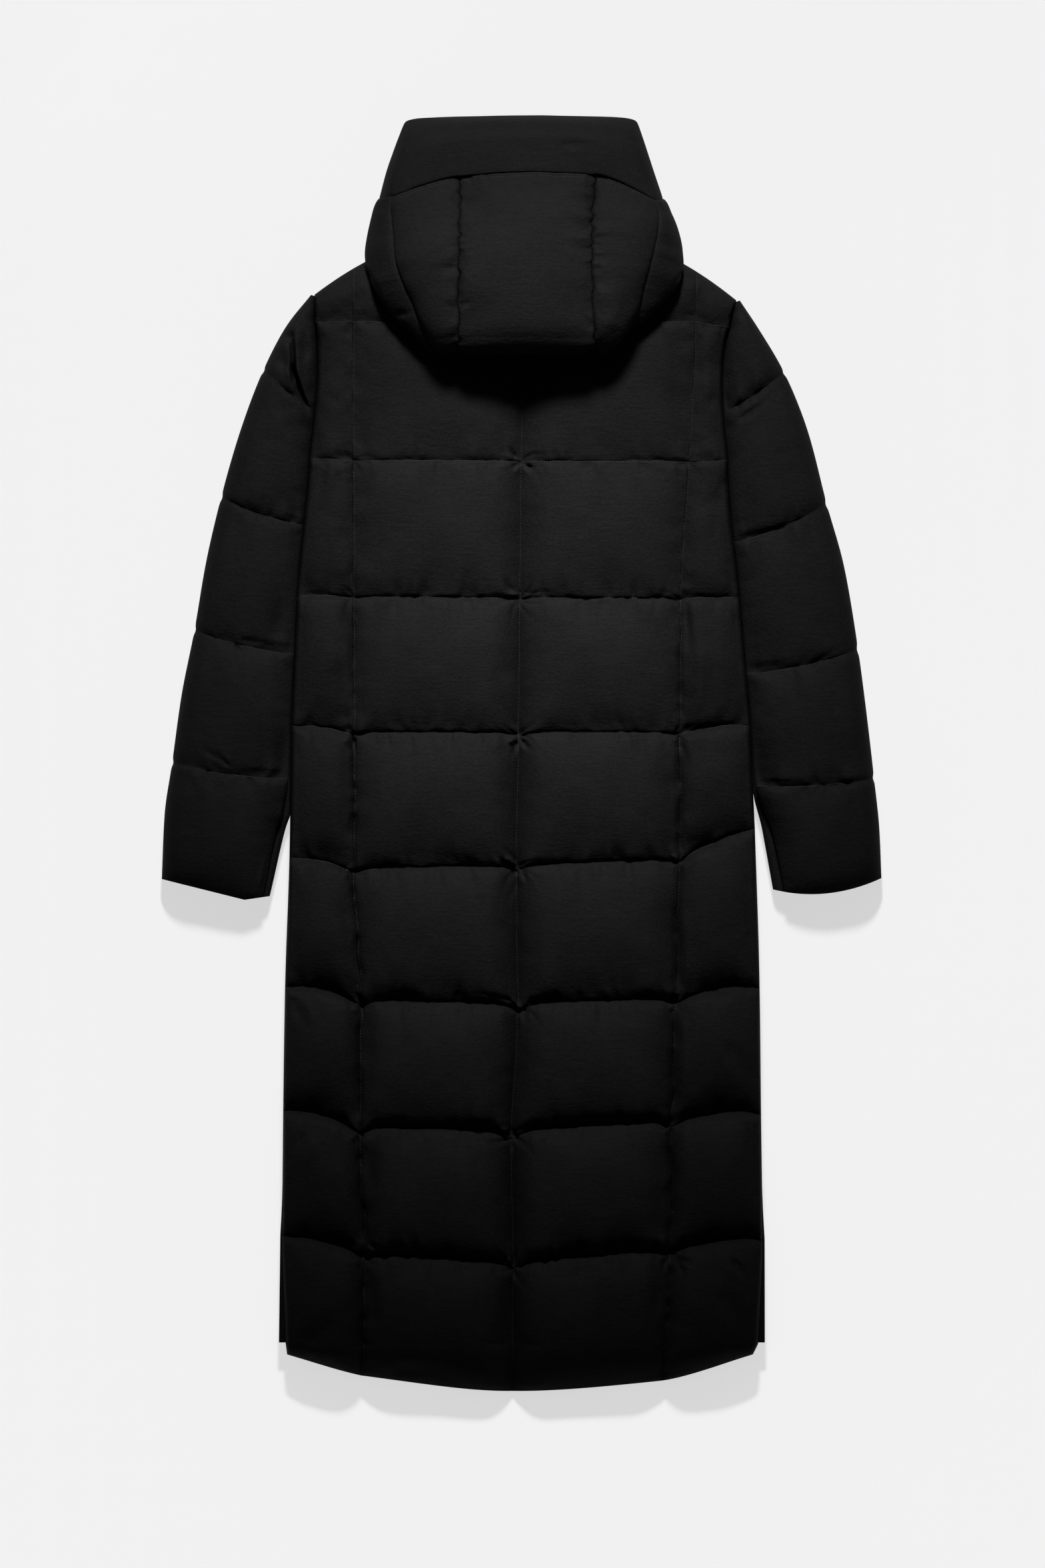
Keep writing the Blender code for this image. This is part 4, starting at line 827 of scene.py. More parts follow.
class Sleeve:
    """One sleeve's fine surface, and any place on it."""

    def __init__(self, side, edges):
        self.side, self.sign, self.edge = side, SIGN[side], edges[side]
        self.seed = SLEEVE_DRIFTS[side].seed
        self.rough_vs = 2 * spread(SLEEVE_CELLS, ROUGH_STEP)
        self.rough_shares = np.linspace(0, 1, 20)
        net = np.stack(self.form(self.rough_vs, self.rough_shares)[:3], -1)
        held = np.isclose(self.rough_vs / 2, np.round(self.rough_vs / 2))[:, None] | (
            np.isin(self.rough_shares, (0, 1))[None, :])
        facing = slice(None, None, self.sign)  # so that the fabric's face is up
        self.folds = settled(net[:, facing], held[:, facing])[:, facing]

    def ends(self, vs):
        """For each place along: the sleeve's two ends there, its width and scale, the strip of under sleeve
        beside it, its puff and its bow."""
        outer_x, outer_y, inner_y, gap, strip, puff, bow = spline(SLEEVE_SECTIONS[self.side], vs).T
        inner_x = np.interp(inner_y, *self.edge) + self.sign * np.maximum(gap, SLEEVE_CLEARANCE)
        start, end = np.stack((inner_x, inner_y), -1), np.stack((outer_x, outer_y), -1)
        width = np.linalg.norm(end - start, axis=1)
        scale = np.minimum(1.0, width / SLEEVE_FULL_WIDTH)
        return start, end, width, scale, np.maximum(strip, 0.1), puff, np.maximum(bow, 0)

    def fullness(self, vs):
        """How full a chamber is along the sleeve: pinched at its rows, half open at the cuff."""
        number, part = chambers(vs)
        lines = [SLEEVE_ROW._replace(kept=kept) for kept in SLEEVE_KEPT[self.side]]
        full = np.zeros_like(part)
        for place in range(SLEEVE_CHAMBERS):
            here = number == place
            full[here] = chamber(part[here], SLEEVE_CELL_LENGTH, lines[place], lines[place + 1])
        full = np.where((number == 0) & (part < 0.5), (4 * part * (1 - part)) ** 0.6, full)
        cuff = np.sqrt(1 - (1 - CUFF_FULLNESS**2) * (2 * part - 1) ** 4)
        return np.where((number == SLEEVE_CHAMBERS - 1) & (part > 0.5), cuff, full)

    def form(self, vs, shares):
        """The crown between the inner seam and the outer fold, without its small folds."""
        _, _, width, scale, strip, puff, _ = self.ends(vs)
        first = strip + SEAM_GAP
        last = width - SLEEVE_FOLD * scale
        offset = first[:, None] + (last - first)[:, None] * shares
        x, y = self.place(vs, offset)
        rise = rounded((offset - strip[:, None]) / (SLEEVE_SEAM_ROUND * scale)[:, None])
        number = chambers(vs)[0]
        above = SLEEVE_CELL_LENGTH * (number + 1 - vs / 2)
        sunk = np.array(SLEEVE_HOLLOWS)[number] * bell(above / SLEEVE_HOLLOW_LENGTH)
        inner = eased_step(1 - offset / (SLEEVE_HOLLOW_SHARE * width)[:, None])
        return x, y, (puff * self.fullness(vs))[:, None] * rise * (1 - sunk[:, None] * inner), offset

    def place(self, vs, offset):
        """x and y at a distance from the inner end of a section."""
        start, end, width, _, _, _, bow = self.ends(vs)
        share = offset / width[:, None]
        run = end - start
        x = start[:, :1] + run[:, :1] * share
        bend = 4 * share * (1 - share)
        if self.side == "left":
            corner = np.minimum(share / LEFT_CUFF_CORNER, (1 - share) / (1 - LEFT_CUFF_CORNER))
            bend = bend + (corner - bend) * eased_step(vs / 2 - SLEEVE_CHAMBERS + 1)[:, None]
        y = start[:, 1:] + run[:, 1:] * share - bow[:, None] * bend
        return x, y

    def net(self, vs, offset, height):
        """Points at distances from the inner end of a section, at a height."""
        x, y = self.place(vs, offset)
        return np.stack((x, y, np.broadcast_to(height, x.shape)), -1)

    def details(self, vs, x, y, along):
        """The gathers at the rows and the creases."""
        number, part = (value[:, None] for value in chambers(vs))
        small = np.zeros_like(x)
        for row in range(SLEEVE_CHAMBERS):
            here = number[:, 0] == row
            seed, down = self.seed + 10 * row, SLEEVE_CELL_LENGTH * part[here]
            if row:
                small[here] += SLEEVE_UNDER_ROW_GATHER * gathered(seed, ROW_GATHERS, along[here], down)
            if row < SLEEVE_CHAMBERS - 1:
                small[here] += gathered(seed + 5, ROW_GATHERS, along[here], SLEEVE_CELL_LENGTH - down)
        small += creased(x, y, SLEEVE_CREASES[self.side])
        return small + drift(SLEEVE_DRIFTS[self.side], x, y)

    def surface(self, vs, shares):
        """The crown's outer points at the given places."""
        x, y, puff, offset = self.form(vs, shares)
        folds = carried_over(self.folds, self.rough_vs, self.rough_shares, vs, shares)
        small = self.details(vs, x, y, offset)
        strip = self.ends(vs)[4][:, None]
        small = small * eased_step((offset - strip) / SLEEVE_SEAM_CALM)
        top = SLEEVE_SEAM_HEIGHT + SEAM_GAP + STITCHED_WALL
        height = top + puff + np.maximum(small + folds[..., 2], -DEEPEST_SLEEVE_FOLD * puff)
        return np.stack((x + folds[..., 0], y + folds[..., 1], height), -1), offset

    def upper_nets(self):
        """The upper sleeve, over its outer fold to the floor."""
        vs = 2 * spread(SLEEVE_CELLS, 4.2, reach=30, finest=1.1)
        crown, offset = self.surface(vs, np.linspace(0, 1, SLEEVE_CROWN_COLUMNS))
        width, scale = (value[:, None] for value in self.ends(vs)[2:4])
        tall = crown[:, -1:, 2] - SLEEVE_FOLD_HEIGHT
        roll = self.net(vs, width - SLEEVE_FOLD * scale * (1 - np.cos(SLEEVE_FOLD_ANGLES)),
                        SLEEVE_FOLD_HEIGHT + tall * np.sin(SLEEVE_FOLD_ANGLES))
        low = self.net(vs, width - np.array(SLEEVE_LOW_PLACES) * SLEEVE_TURN_UNDER * scale,
                       (SLEEVE_FOLD_HEIGHT, *SLEEVE_LOW_HEIGHTS))
        pinch = np.zeros((len(vs), 1))
        for row in range(1, SLEEVE_CHAMBERS):
            pinch += bell((vs / 2 - row) * SLEEVE_CELL_LENGTH / SLEEVE_PINCH_WIDTH)[:, None]
        for net in (roll, low[:, :3]):
            net[..., 0] -= self.sign * SLEEVE_PINCH * pinch
        joint = width - SLEEVE_JOINT * scale
        ceiling = SLEEVE_SEAM_HEIGHT + SEAM_GAP
        flat = self.net(vs, np.minimum(offset, joint - 0.5), ceiling)
        heights = np.concatenate((np.linspace(ceiling, SLEEVE_FOLD_HEIGHT, 14), (11,), SLEEVE_LOW_HEIGHTS))
        wall = self.net(vs, np.repeat(joint, len(heights), axis=1), heights)
        return np.concatenate((crown, roll, low), axis=1), np.concatenate((flat, wall), axis=1)

    def under_nets(self):
        """The under sleeve: a strip beside the upper one, curling under to the floor."""
        vs = 2 * spread(SLEEVE_CELLS, 5, reach=30, finest=1.6)
        width, scale, strip = (value[:, None] for value in self.ends(vs)[2:5])
        shown = UNDER_SLEEVE_COLUMNS
        profile = spline(UNDER_SLEEVE_EDGE + ((0.8, 0),), np.linspace(0, 4, shown))
        edge = strip * profile[:, 0]
        edge[:, -1] = strip[:, 0] + 1
        last = width - SLEEVE_JOINT * scale - SEAM_GAP
        hidden = strip + 2 + (last - strip - 2) * UNDER_SLEEVE_HIDDEN
        heights = np.concatenate((np.clip(profile[:, 1], 0, None), np.zeros(len(UNDER_SLEEVE_HIDDEN))))
        outer = self.net(vs, np.concatenate((edge, hidden), axis=1), heights)
        part = chambers(vs)[1]
        near_row = bell(np.minimum(part, 1 - part) * SLEEVE_CELL_LENGTH / SLEEVE_PINCH_WIDTH)[:, None]
        near_row = near_row * (vs[:, None] > 1) * (vs[:, None] < 9)
        bend = np.sin(np.pi * np.linspace(0, 1, shown))
        outer[:, :shown, 0] += self.sign * UNDER_SLEEVE_PINCH * near_row * bend * np.minimum(strip, 4) / 4
        inner = np.concatenate((strip + np.linspace(1, 2, shown), hidden), axis=1)
        return outer, self.net(vs, inner, SLEEVE_SEAM_HEIGHT)


# ---- The hood --------------------------------------------------------------------------------------

ARC, BRIM_EDGE, LAST_ROW = 7, 10, 11  # rows of its net: the brim's seam, the brim's edge and the last
LAST_COLUMN = 8
PANEL_SEAMS, CENTRE_SEAMS = (2, 3, 5, 6), (3, 5)  # columns
SMOOTHINGS = 3


def lattice(cells):
    """The places of the lines of the hood's solids, from their places in each column or row of the net."""
    return [number + place for number, places in enumerate(cells) for place in places] + [len(cells)]


EASED = [(1 - math.cos(math.pi * k / 5)) / 2 for k in range(5)]
HALF_EASED = [(1 - math.cos(math.pi * k / 8)) / 2 for k in range(4)]
EVEN_2, EVEN_3 = [0, 1 / 2], [0, 1 / 3, 2 / 3]
CAD_COLUMNS = lattice((EVEN_2, EVEN_3, EASED, HALF_EASED, HALF_EASED, EASED, EVEN_3, EVEN_2))
CAD_ROWS = lattice((EVEN_2, EVEN_3, EVEN_2, EVEN_2, EVEN_3, EVEN_2, EVEN_3, EVEN_2, EVEN_2, EVEN_3, EVEN_2))
HoodPiece = namedtuple("HoodPiece", "first last low high kind")
HOOD_PIECES = {
    "hood_band_left": HoodPiece(0, 2, 0, ARC, "band"),
    "hood_side_left": HoodPiece(2, 3, 0, ARC, "side"),
    "hood_centre": HoodPiece(3, 5, 0, ARC, "centre"),
    "hood_side_right": HoodPiece(5, 6, 0, ARC, "side"),
    "hood_band_right": HoodPiece(6, LAST_COLUMN, 0, ARC, "band"),
    "hood_brim": HoodPiece(0, LAST_COLUMN, ARC, LAST_ROW, "brim"),
}
HOOD_CELL_WIDTHS = (9, 32, 68, 72, 72, 66, 34, 9)
HOOD_CELL_LENGTHS = (9, 42, 34, 34, 58, 36, 32, 28, 24, 42, 9)


def hood_rows(rest):
    """Every row of the hood as nine places: the seven of the table, with its edges turned under."""
    rows = []
    for number, row in enumerate(HOOD_ROWS):
        base = rest if number < HOOD_ROWS_OVER_THE_BACK else 0.0
        places = [np.array(place, float) + (0, 0, base) for place in row]
        left, right = places[0].copy(), places[-1].copy()
        left += (HOOD_TUCK, 0, base + EDGE_HEIGHT - left[2])
        right += (-HOOD_TUCK, 0, base + EDGE_HEIGHT - right[2])
        rows.append([left] + places + [right])
    rows = np.array(rows)
    lower, upper = rows[0].copy(), rows[-1].copy()
    lower[:, 1] += HOOD_TUCK
    lower[:, 2] = rest + EDGE_HEIGHT
    upper[:, 1] -= HOOD_TUCK
    upper[:, 2] = EDGE_HEIGHT
    rows = np.concatenate(([lower], rows, [upper]))
    for corner in (rows, rows[::-1], rows[:, ::-1], rows[::-1, ::-1]):
        corner[0, 0, :2] = (corner[0, 0, :2] + corner[1, 1, :2]) / 2
        corner[1, 0] = corner[0, 0] + CORNER_SHARE * (corner[2, 0] - corner[0, 0])
        corner[0, 1] = corner[0, 0] + CORNER_SHARE * (corner[0, 2] - corner[0, 0])
    return rows


class Hood:
    """The hood's fine surface, and any place on it."""

    def __init__(self, rest):
        self.rows = hood_rows(rest)
        net = self.base(np.array(CAD_ROWS), np.array(CAD_COLUMNS))
        outward = np.cross(np.gradient(net, axis=1), np.gradient(net, axis=0))
        rims = len(EVEN_2)
        outward[..., 2] = np.maximum(outward[..., 2], 0)
        for rim in range(rims):
            outward[rim], outward[-1 - rim] = outward[rims], outward[-1 - rims]
            outward[:, rim], outward[:, -1 - rim] = outward[:, rims], outward[:, -1 - rims]
            outward[rim, :, 2] = outward[-1 - rim, :, 2] = 0
            outward[:, rim, 2] = outward[:, -1 - rim, 2] = 0
        outward /= np.linalg.norm(outward, axis=2, keepdims=True)
        for _ in range(SMOOTHINGS):
            outward = (around(outward) + 4 * outward) / 8
        outward[(0, -1), :, 2] = 0
        outward[:, (0, -1), 2] = 0
        self.outward = outward / np.linalg.norm(outward, axis=2, keepdims=True)
        wall = np.full(net.shape[:2], HOOD_WALL)
        for rim in range(rims):
            thinned = HOOD_WALL * (HOOD_EDGE_WALL + (1 - HOOD_EDGE_WALL) * rim / rims)
            wall[rim] = wall[-1 - rim] = thinned
            wall[rims:-rims, rim] = wall[rims:-rims, -1 - rim] = thinned
        self.wall = wall[..., None]

    def base(self, vs, us):
        """The hood's outside without its quilting, smoothed lengthways where it isn't an edge."""
        last = len(self.rows) - 1
        reach = HOOD_SMOOTHING * np.clip(np.minimum(vs - 1, last - 1 - vs), 0, 1)
        steps = np.linspace(-1, 1, 7)
        spread_rows = sum(spline(self.rows, vs + step * reach) for step in steps) / len(steps)
        return spline(spread_rows.swapaxes(0, 1), us).swapaxes(0, 1)

    def read(self, values, vs, us):
        """A lattice of the hood's solids read at fine places."""
        for places, known in ((us, CAD_COLUMNS), (vs, CAD_ROWS)):
            values = values.swapaxes(0, 1)
            values = np.apply_along_axis(lambda line: np.interp(places, known, line), 0, values)
        return values

    def puff(self, piece, vs, us):
        """How far a hood panel stands above its seams."""
        v, u = vs[:, None], us[None, :]
        if piece.kind == "brim":
            lip = BRIM_LIP * (1 - eased_step((v - ARC) / 2)) * rounded(np.minimum(u - 2, 6 - u))
            lengthways = rounded(np.minimum(v - ARC, BRIM_EDGE - v) / BRIM_ROUND)
            return lip + HOOD_PUFF["brim"] * lengthways * rounded(np.minimum(u - 1, 7 - u))
        across = (u - piece.first) / (piece.last - piece.first)
        if piece.kind == "band":
            across = np.clip((u - 1) if piece.first == 0 else (7 - u), 0, 1)
        lengthways = rounded((v - 1) / PANEL_ROUND) * rounded(
            (piece.high + PANEL_SEAM_PLACE - v) / PANEL_TOP_ROUND)
        return HOOD_PUFF[piece.kind] * np.sqrt(np.maximum(4 * across * (1 - across), 0)) * lengthways

    def surface(self, piece, vs, us):
        """The outer and inner nets of a hood panel at the given places."""
        base = self.base(vs, us)
        out = self.read(self.outward, vs, us)
        out /= np.linalg.norm(out, axis=2, keepdims=True)
        wall = self.read(self.wall, vs, us)
        x, y = base[..., 0], base[..., 1]
        small = creased(x, y, HOOD_CREASES) + drift(HOOD_DRIFT, x, y)
        widths, lengths = (np.cumsum((0,) + cells) for cells in (HOOD_CELL_WIDTHS, HOOD_CELL_LENGTHS))
        across = np.interp(us, range(LAST_COLUMN + 1), widths)[None, :]
        along = np.interp(vs, range(LAST_ROW + 1), lengths)[:, None]
        edge = eased_step(np.minimum(us, LAST_COLUMN - us) / HOOD_SIDE_CALM)[None, :] * eased_step(
            np.minimum(vs, LAST_ROW - vs) / HOOD_END_CALM)[:, None]
        held = np.ones_like(us)
        if piece.kind != "brim":
            for place in PANEL_SEAMS:
                kinds = SEAM_GATHERS if place in CENTRE_SEAMS else UPRIGHT_GATHERS
                past = across - widths[place]
                if place == piece.first:
                    small = small + HOOD_GATHER * gathered(500 + place, kinds, along, past)
                if place == piece.last:
                    small = small + HOOD_GATHER * gathered(520 + place, kinds, along, -past)
            kinds = ROW_GATHERS if piece.kind == "centre" else UPRIGHT_GATHERS
            small = small + BRIM_GATHER * gathered(540, kinds, across, lengths[ARC] - along)
            held = rounded((us - piece.first) * 8) * rounded((piece.last - us) * 8)
            for place in CENTRE_SEAMS:
                wave = wander(560 + place, along / HOOD_SEAM_WAVE_LENGTH) * bell(
                    (across - widths[place]) / HOOD_SEAM_WAVE_WIDTH)
                base[..., 0] += HOOD_SEAM_WAVE * wave * edge
        height = np.maximum(self.puff(piece, vs, us) + small * edge * held,
                            -DEEPEST_HOOD_FOLD * wall[..., 0])
        return base + height[..., None] * out, base - wall * out


# ---- Meshes ----------------------------------------------------------------------------------------


def ring_steps(count, step):
    """Numbers of the lines that the plain side keeps: every step-th, and both ends."""
    kept = list(range(0, count - 1, step))
    return kept + [count - 1] if count - 1 - kept[-1] > step // 2 else kept[:-1] + [count - 1]


def closed_wall(outer, inner, step):
    """Points and faces of a closed piece between two nets. The inner side has a point at every step-th
    line only, but meets every point round its edge."""
    rows, columns = outer.shape[:2]
    front = np.arange(rows * columns).reshape(rows, columns)
    faces = squares(rows, columns)
    kept_rows, kept_columns = ring_steps(rows, step), ring_steps(columns, step)
    used = np.zeros((rows, columns), bool)
    used[np.ix_(kept_rows, kept_columns)] = True
    used[[0, -1], :] = True
    used[:, [0, -1]] = True
    back = np.full((rows, columns), -1)
    back[used] = rows * columns + np.arange(used.sum())
    for r0, r1 in zip(kept_rows, kept_rows[1:]):
        for c0, c1 in zip(kept_columns, kept_columns[1:]):
            near = [(r0, c) for c in (range(c0, c1) if r0 == 0 else (c0,))]
            far = [(r1, c) for c in (range(c1, c0, -1) if r1 == rows - 1 else (c1,))]
            right = [(r, c1) for r in (range(r0, r1) if c1 == columns - 1 else (r0,))]
            left = [(r, c0) for r in (range(r1, r0, -1) if c0 == 0 else (r1,))]
            faces.append([int(back[place]) for place in near + right + far + left])
    rim = [(r, 0) for r in range(rows)] + [(rows - 1, c) for c in range(1, columns)]
    rim += [(r, columns - 1) for r in range(rows - 2, -1, -1)] + [(0, c) for c in range(columns - 2, 0, -1)]
    for here, there in zip(rim, rim[1:] + rim[:1]):
        faces.append([int(front[there]), int(front[here]), int(back[here]), int(back[there])])
    return np.concatenate((outer.reshape(-1, 3), inner[used])), faces


placket_low, placket_high = np.array(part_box("front_placket")) / MM
SHIFT = np.array(((placket_low[0] + placket_high[0]) / 2, placket_low[1] - FRONT_HEM_Y, 0))


def made(name, points, faces, material, slot):
    """A piece of the coat from points in millimetres."""
    mesh = meshed(name, (points + SHIFT) * MM, faces)
    mesh.update()
    mesh.shade_smooth()
    mesh.set_sharp_from_angle(angle=math.radians(70))
    mesh.materials.append(material)
    piece = added(name, mesh)
    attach(piece, "root")
    return piece


def panel(node, nets, step=6):
    """A padded panel that stands for a solid."""
    piece = made(node + "_panel", *closed_wall(*nets, step), fabric, node + "_fabric")
    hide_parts(node)


def stitches(name, lines, slot):
    """Short rounded stitches along lines of points, as one joined mesh."""
    sides = range(STITCH_SIDES)
    turns = 2 * math.pi / STITCH_SIDES * np.array(sides)
    ring = np.stack((np.cos(turns), np.sin(turns)), 1)
    points, faces = [], []
    for line in lines:
        distance = np.concatenate(([0], np.cumsum(np.linalg.norm(np.diff(line, axis=0), axis=1))))
        for number in range(int(distance[-1] / STITCH_PITCH)):
            middle = (number + 0.5) * STITCH_PITCH
            ends = [np.array([np.interp(middle + side * STITCH_LENGTH / 2, distance, line[:, k])
                              for k in range(3)]) for side in (-1, 1)]
            centre, run = (ends[0] + ends[1]) / 2, ends[1] - ends[0]
            run /= max(np.linalg.norm(run), 1e-6)
            sideways = np.cross(run, (0, 0, 1))
            sideways /= max(np.linalg.norm(sideways), 1e-6)
            up = np.cross(sideways, run)
            rings = [len(points) + STITCH_SIDES * station for station in range(len(STITCH_STATIONS))]
            for place, size in STITCH_STATIONS:
                for across, high in ring:
                    points.append(centre + run * place * STITCH_LENGTH + (sideways * across + up * high)
                                  * size * STITCH_THICKNESS / 2 + up * (STITCH_THICKNESS / 2 - STITCH_SINK))
            for a, b in zip(rings, rings[1:]):
                for k in sides:
                    after = (k + 1) % STITCH_SIDES
                    faces.append((a + k, b + k, b + after, a + after))
            faces += [[rings[0] + k for k in sides], [rings[-1] + k for k in reversed(sides)]]
    made(name, np.array(points), faces, thread, slot)


# ---- Materials -------------------------------------------------------------------------------------


class Value:
    """A shader socket. An expression on it adds the Math nodes that work it out."""

    def __init__(self, tree, socket):
        self.tree, self.socket = tree, socket

    def maths(self, operation, *terms):
        sockets = dict(enumerate((self,) + terms))
        return add_node(self.tree, "ShaderNodeMath", {"operation": operation}, sockets)

    def __add__(self, other):
        return self.maths("ADD", other)

    def __mul__(self, other):
        return self.maths("MULTIPLY", other)

    __radd__, __rmul__ = __add__, __mul__

    def __rsub__(self, other):
        return -1 * self + other

    def __rtruediv__(self, other):
        return self.maths("POWER", -1.0) * other


def add_node(tree, kind, settings=None, sockets=None, output=0):
    """A node of a kind, with its settings set first and then the values or links of its sockets."""
    node = tree.nodes.new(kind)
    for name, value in (settings or {}).items():
        setattr(node, name, value)
    for name, value in (sockets or {}).items():
        if isinstance(value, Value):
            tree.links.new(value.socket, node.inputs[name])
        else:
            node.inputs[name].default_value = value
    return Value(tree, node.outputs[output])


def finish(name, constants):
    """A new material with its shader's constants set, its tree, and how to link a value to its shader."""
    material = bpy.data.materials.new(name)
    material.use_nodes = True
    tree = material.node_tree
    inputs = tree.nodes["Principled BSDF"].inputs
    for socket, value in constants.items():
        inputs[socket].default_value = value
    return material, tree, lambda socket, value: tree.links.new(value.socket, inputs[socket])


def black_shell_fabric():
    """Fine plain-woven black nylon with a soft satin face."""
    constants = {"Base Color": SHELL_COLOUR, "Specular IOR Level": 0.012}
    material, tree, link = finish("black_shell_fabric", constants)
    place = add_node(tree, "ShaderNodeTexCoord", output="Object")

    def noise(size, across=(1, 1, 1), detail=2.0):
        stretched = add_node(tree, "ShaderNodeMapping", None, {"Vector": place, "Scale": across})
        return add_node(tree, "ShaderNodeTexNoise", None,
                        {"Vector": stretched, "Scale": 1 / (size * MM), "Detail": detail}, output="Fac")

    weave = noise(1.1, (1, 0.16, 1)) + noise(1.1, (0.16, 1, 1))
    slub = noise(2.4, (0.12, 1, 1), detail=3.0)  # uneven weft threads
    cloud = noise(45, detail=4.0)
    grain = noise(3.2, detail=4.0)
    shade = 0.12 + 0.34 * cloud + 0.5 * slub + 0.65 * grain + 0.15 * weave
    link("Base Color", add_node(tree, "ShaderNodeMix", {"data_type": "RGBA", "blend_type": "MULTIPLY"},
                                {0: 1.0, 6: SHELL_COLOUR, 7: shade}, output=2))
    link("Roughness", 0.56 + 0.1 * cloud + 0.06 * weave)
    height = 0.3 * weave + 0.5 * slub + grain
    link("Normal", add_node(tree, "ShaderNodeBump", None,
                            {"Strength": 0.7, "Distance": 0.0008, "Height": height}))
    return material


def thread_finish():
    """Smooth twisted polyester thread, a little lighter than the fabric."""
    material, tree, link = finish("shell_thread", {"Base Color": THREAD_COLOUR, "Specular IOR Level": 0.1})
    place = add_node(tree, "ShaderNodeTexCoord", output="Object")
    twist = add_node(tree, "ShaderNodeTexNoise", None, {"Vector": place, "Scale": 2500.0}, output="Fac")
    link("Normal", add_node(tree, "ShaderNodeBump", None,
                            {"Strength": 0.4, "Distance": 0.0001, "Height": twist}))
    link("Roughness", 0.38 + 0.15 * twist)
    return material


# ---- The coat --------------------------------------------------------------------------------------

fabric, thread = black_shell_fabric(), thread_finish()

back = Back()
columns = spread(CELL_WIDTHS, 1.75)
rows = spread(CELL_LENGTHS, (5,) * 8 + (4.6, 3), reach=34, finest=0.9)
back_nets = back.surface(columns, rows)
for node, first, last in (("back_side_left", 0, 1), ("back_centre", 1, 3), ("back_side_right", 3, 4)):
    part = (columns >= first - 1e-9) & (columns <= last + 1e-9)
    panel(node, [net[:, part] for net in back_nets], step=8)
across, down = np.linspace(0.03, 3.97, 500), np.linspace(0.02, 9.5, 1400)
lines = [back.surface(across, np.array([float(row)]))[0][0] for row in range(1, LAST_CHAMBER + 1)]
stitches("back_row_stitches", lines, "back_centre_fabric")
beside_seam = 1.6 / CELL_WIDTHS[1]
uprights = (1 + beside_seam, 2.0, 3 + beside_seam)
lines = [back.surface(np.array([place]), down)[0][:, 0] for place in uprights]
stitches("back_upright_stitches", lines, "back_centre_fabric")

# the side seams, from the hem up, as x at y
seam_x, seam_y = back_form(np.array([0.0, 4.0]), np.linspace(0, 10, 201))[:2]
edges = {side: (seam_y[::-1, place], seam_x[::-1, place]) for side, place in EDGE_PLACE.items()}
for side, sign in SIGN.items():
    facing = slice(None, None, sign)  # so that a net's outer side faces out
    panel("front_" + side, [net[:, facing] for net in front_nets(side, edges)])
    sleeve = Sleeve(side, edges)
    for name, nets in (("upper", sleeve.upper_nets()), ("under", sleeve.under_nets())):
        panel("sleeve_" + side + "_" + name, [net[:, facing] for net in nets])
    across = np.linspace(0.03, 1, 200)
    lines = [sleeve.surface(np.array([2.0 * row]), across)[0][0] for row in range(1, SLEEVE_CHAMBERS)]
    stitches("sleeve_" + side + "_stitches", lines, "sleeve_" + side + "_upper_fabric")

rest = float(back_form(columns, rows[rows < 2])[2].max())
rest += SIDE_SEAM_HEIGHT + SEAM_GAP + STITCHED_WALL + SEAM_GAP
hood = Hood(rest)
for node, piece in HOOD_PIECES.items():
    us = piece.first + spread(HOOD_CELL_WIDTHS[piece.first : piece.last], HOOD_STEP)
    vs = piece.low + spread(HOOD_CELL_LENGTHS[piece.low : piece.high], HOOD_STEP)
    panel(node, [net[::-1] for net in hood.surface(piece, vs, us)])
brim_lines = []
for back_from_lip in (0.07, 0.2):
    for node, first, last in (("hood_side_left", 2.17, 2.98), ("hood_centre", 3.02, 4.98),
                              ("hood_side_right", 5.02, 5.83)):
        row, places = np.array([ARC - back_from_lip]), np.linspace(first, last, 200)
        brim_lines.append(hood.surface(HOOD_PIECES[node], row, places)[0][0])
stitches("hood_stitches", brim_lines, "hood_centre_fabric")

for node in ("front_placket", "hood_inside"):
    for slot in bpy.data.objects[node].material_slots:
        slot.material = fabric

# ---- Floor, light and camera -----------------------------------------------------------------------

LAMP_PLACE = np.array((0.0, 2.7, 2.3))
LAMP_TARGET = (0.0, 0.14, 0.0)
LAMP_HALF_ANGLE = math.radians(8)
LAMP_RADIUS = 0.35
LAMP_POWER = 2500.0
SKY = 0.12
FLOOR_BRIGHTNESS = 0.885
PAPER = 0.3  # the share of the table's brightness that is lamplight
PALEST = 0.85
FLOOR_STEPS = 1.4  # the floor has a fine grid this far out
LAMP_POINTS = 160


def lamplight(places):
    """How brightly the softbox lights white paper at places on the floor. Its beam fades to its rim."""
    beam = LAMP_TARGET - LAMP_PLACE
    beam = beam / np.linalg.norm(beam)
    ray = places - LAMP_PLACE
    ray /= np.linalg.norm(ray, axis=1, keepdims=True)
    sideways = np.cross(ray, (0, 0, 1))
    sideways /= np.linalg.norm(sideways, axis=1, keepdims=True)
    up = np.cross(ray, sideways)
    light = np.zeros(len(places))
    for number in range(LAMP_POINTS):
        out = LAMP_RADIUS * math.sqrt((number + 0.5) / LAMP_POINTS)
        turn = number * math.pi * (3 - math.sqrt(5))
        path = places - LAMP_PLACE - out * (math.cos(turn) * sideways + math.sin(turn) * up)
        reach = np.linalg.norm(path, axis=1)
        rim = math.cos(LAMP_HALF_ANGLE)
        light -= eased_step((path @ beam / reach - rim) / (1 - rim)) * path[:, 2] / reach**3
    return LAMP_POWER / (4 * math.pi**2) * light / LAMP_POINTS


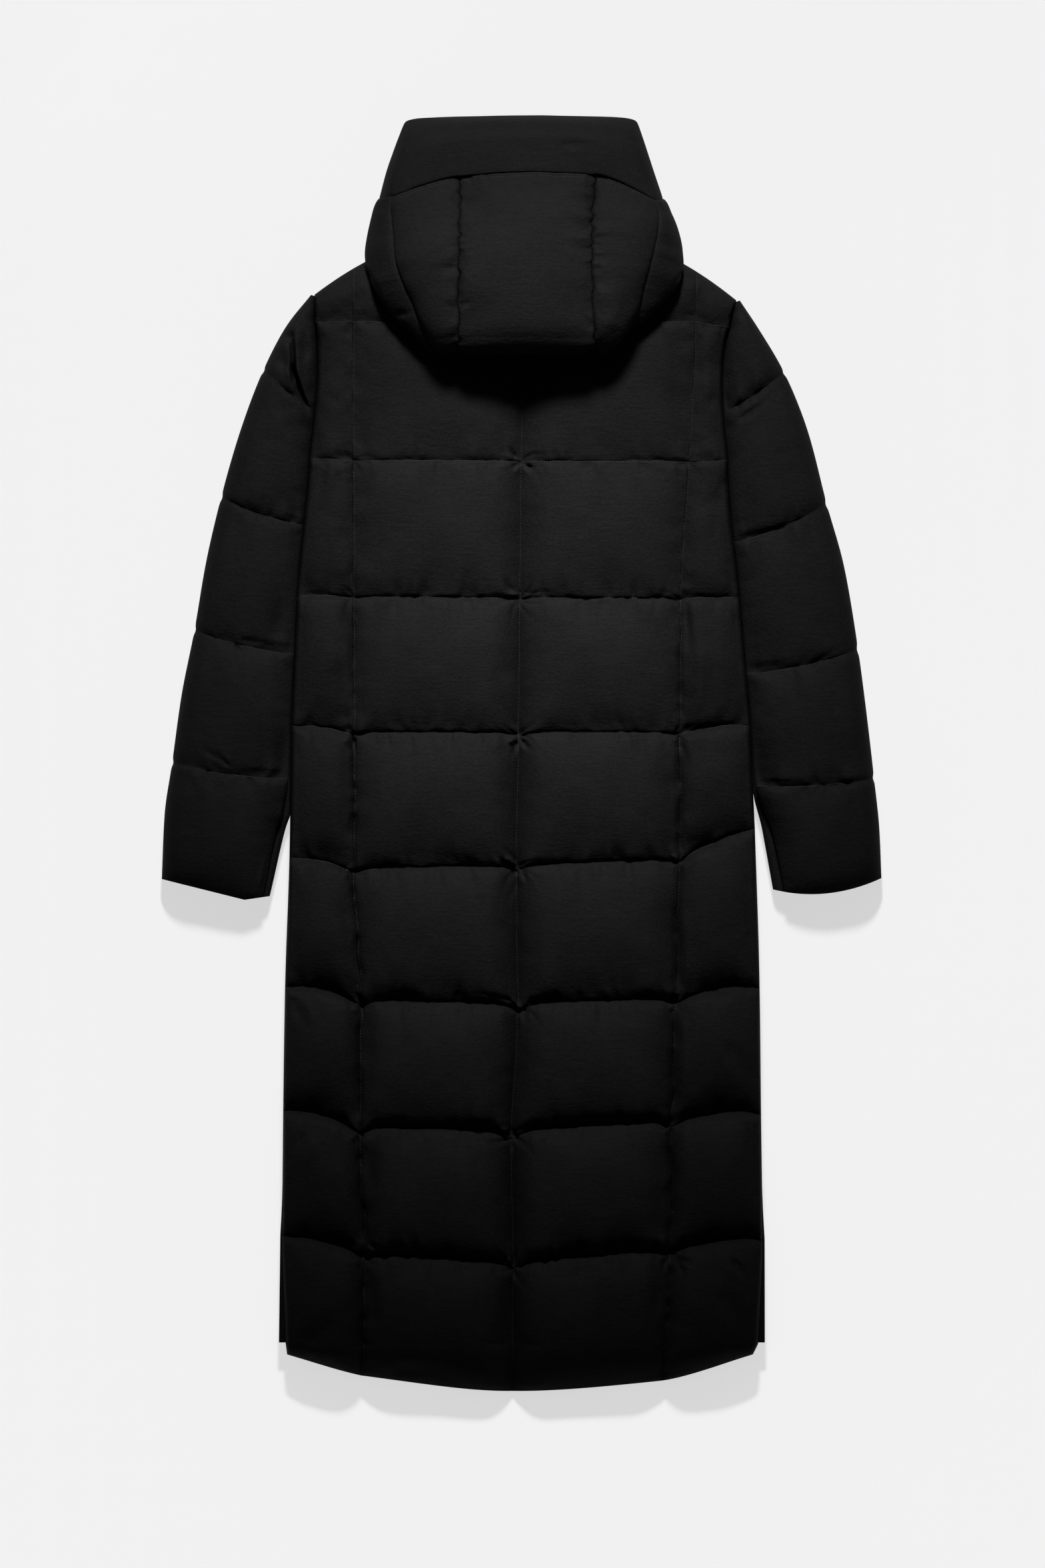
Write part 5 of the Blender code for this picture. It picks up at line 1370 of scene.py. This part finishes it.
# The floor is a light table: it glows where the softbox leaves it dim.
steps = np.concatenate(((-25, -6, -3, -2), np.linspace(-FLOOR_STEPS, FLOOR_STEPS, 57), (2, 3, 6, 25)))
grid = np.meshgrid(steps, steps, [0.0], indexing="ij")
floor_points = np.stack(grid, -1).reshape(-1, 3)
floor_mesh = meshed("floor", floor_points, squares(len(steps), len(steps)))
floor_mesh.attributes.new("lamplight", "FLOAT", "POINT").data.foreach_set("value", lamplight(floor_points))
floor = added("floor", floor_mesh)
floor.location = (0, 0, -0.0004)
table, table_tree, link = finish(
    "light_table", {"Roughness": 0.9, "Specular IOR Level": 0.0, "Emission Strength": 1.0})
light = SKY + add_node(table_tree, "ShaderNodeAttribute", {"attribute_name": "lamplight"}, output=2)
paper = (PAPER * FLOOR_BRIGHTNESS / light).maths("MINIMUM", PALEST)
link("Base Color", paper)
link("Emission Color", FLOOR_BRIGHTNESS - paper * light)
floor_mesh.materials.append(table)

lamp_data = bpy.data.lights.new("softbox", "SPOT")
lamp_data.energy = LAMP_POWER
lamp_data.spot_size = 2 * LAMP_HALF_ANGLE
lamp_data.spot_blend = 1.0
lamp_data.shadow_soft_size = LAMP_RADIUS
lamp = added("softbox", lamp_data)
lamp.location = LAMP_PLACE
lamp.rotation_euler = (-math.atan2(LAMP_PLACE[1] - LAMP_TARGET[1], LAMP_PLACE[2]), 0, 0)
lamp.visible_camera = False
world = bpy.data.worlds.new("studio")
world.use_nodes = True
sky = world.node_tree.nodes["Background"].inputs
sky["Color"].default_value, sky["Strength"].default_value = WHITE, SKY
scene.world = world
scene.view_settings.view_transform = "Standard"

CAMERA_HEIGHT = 20.0
COAT_LEVEL = 0.03
FRAME_HEIGHT = 1.6471
FRAME_CENTRE = (0.00095, -0.0325)
camera_data = bpy.data.cameras.new("camera")
camera_data.sensor_width = 36.0
camera_data.lens = camera_data.sensor_width * (CAMERA_HEIGHT - COAT_LEVEL) / FRAME_HEIGHT
camera_data.clip_end = 50.0
camera = added("camera", camera_data)
camera.location = (*FRAME_CENTRE, CAMERA_HEIGHT)
scene.camera = camera
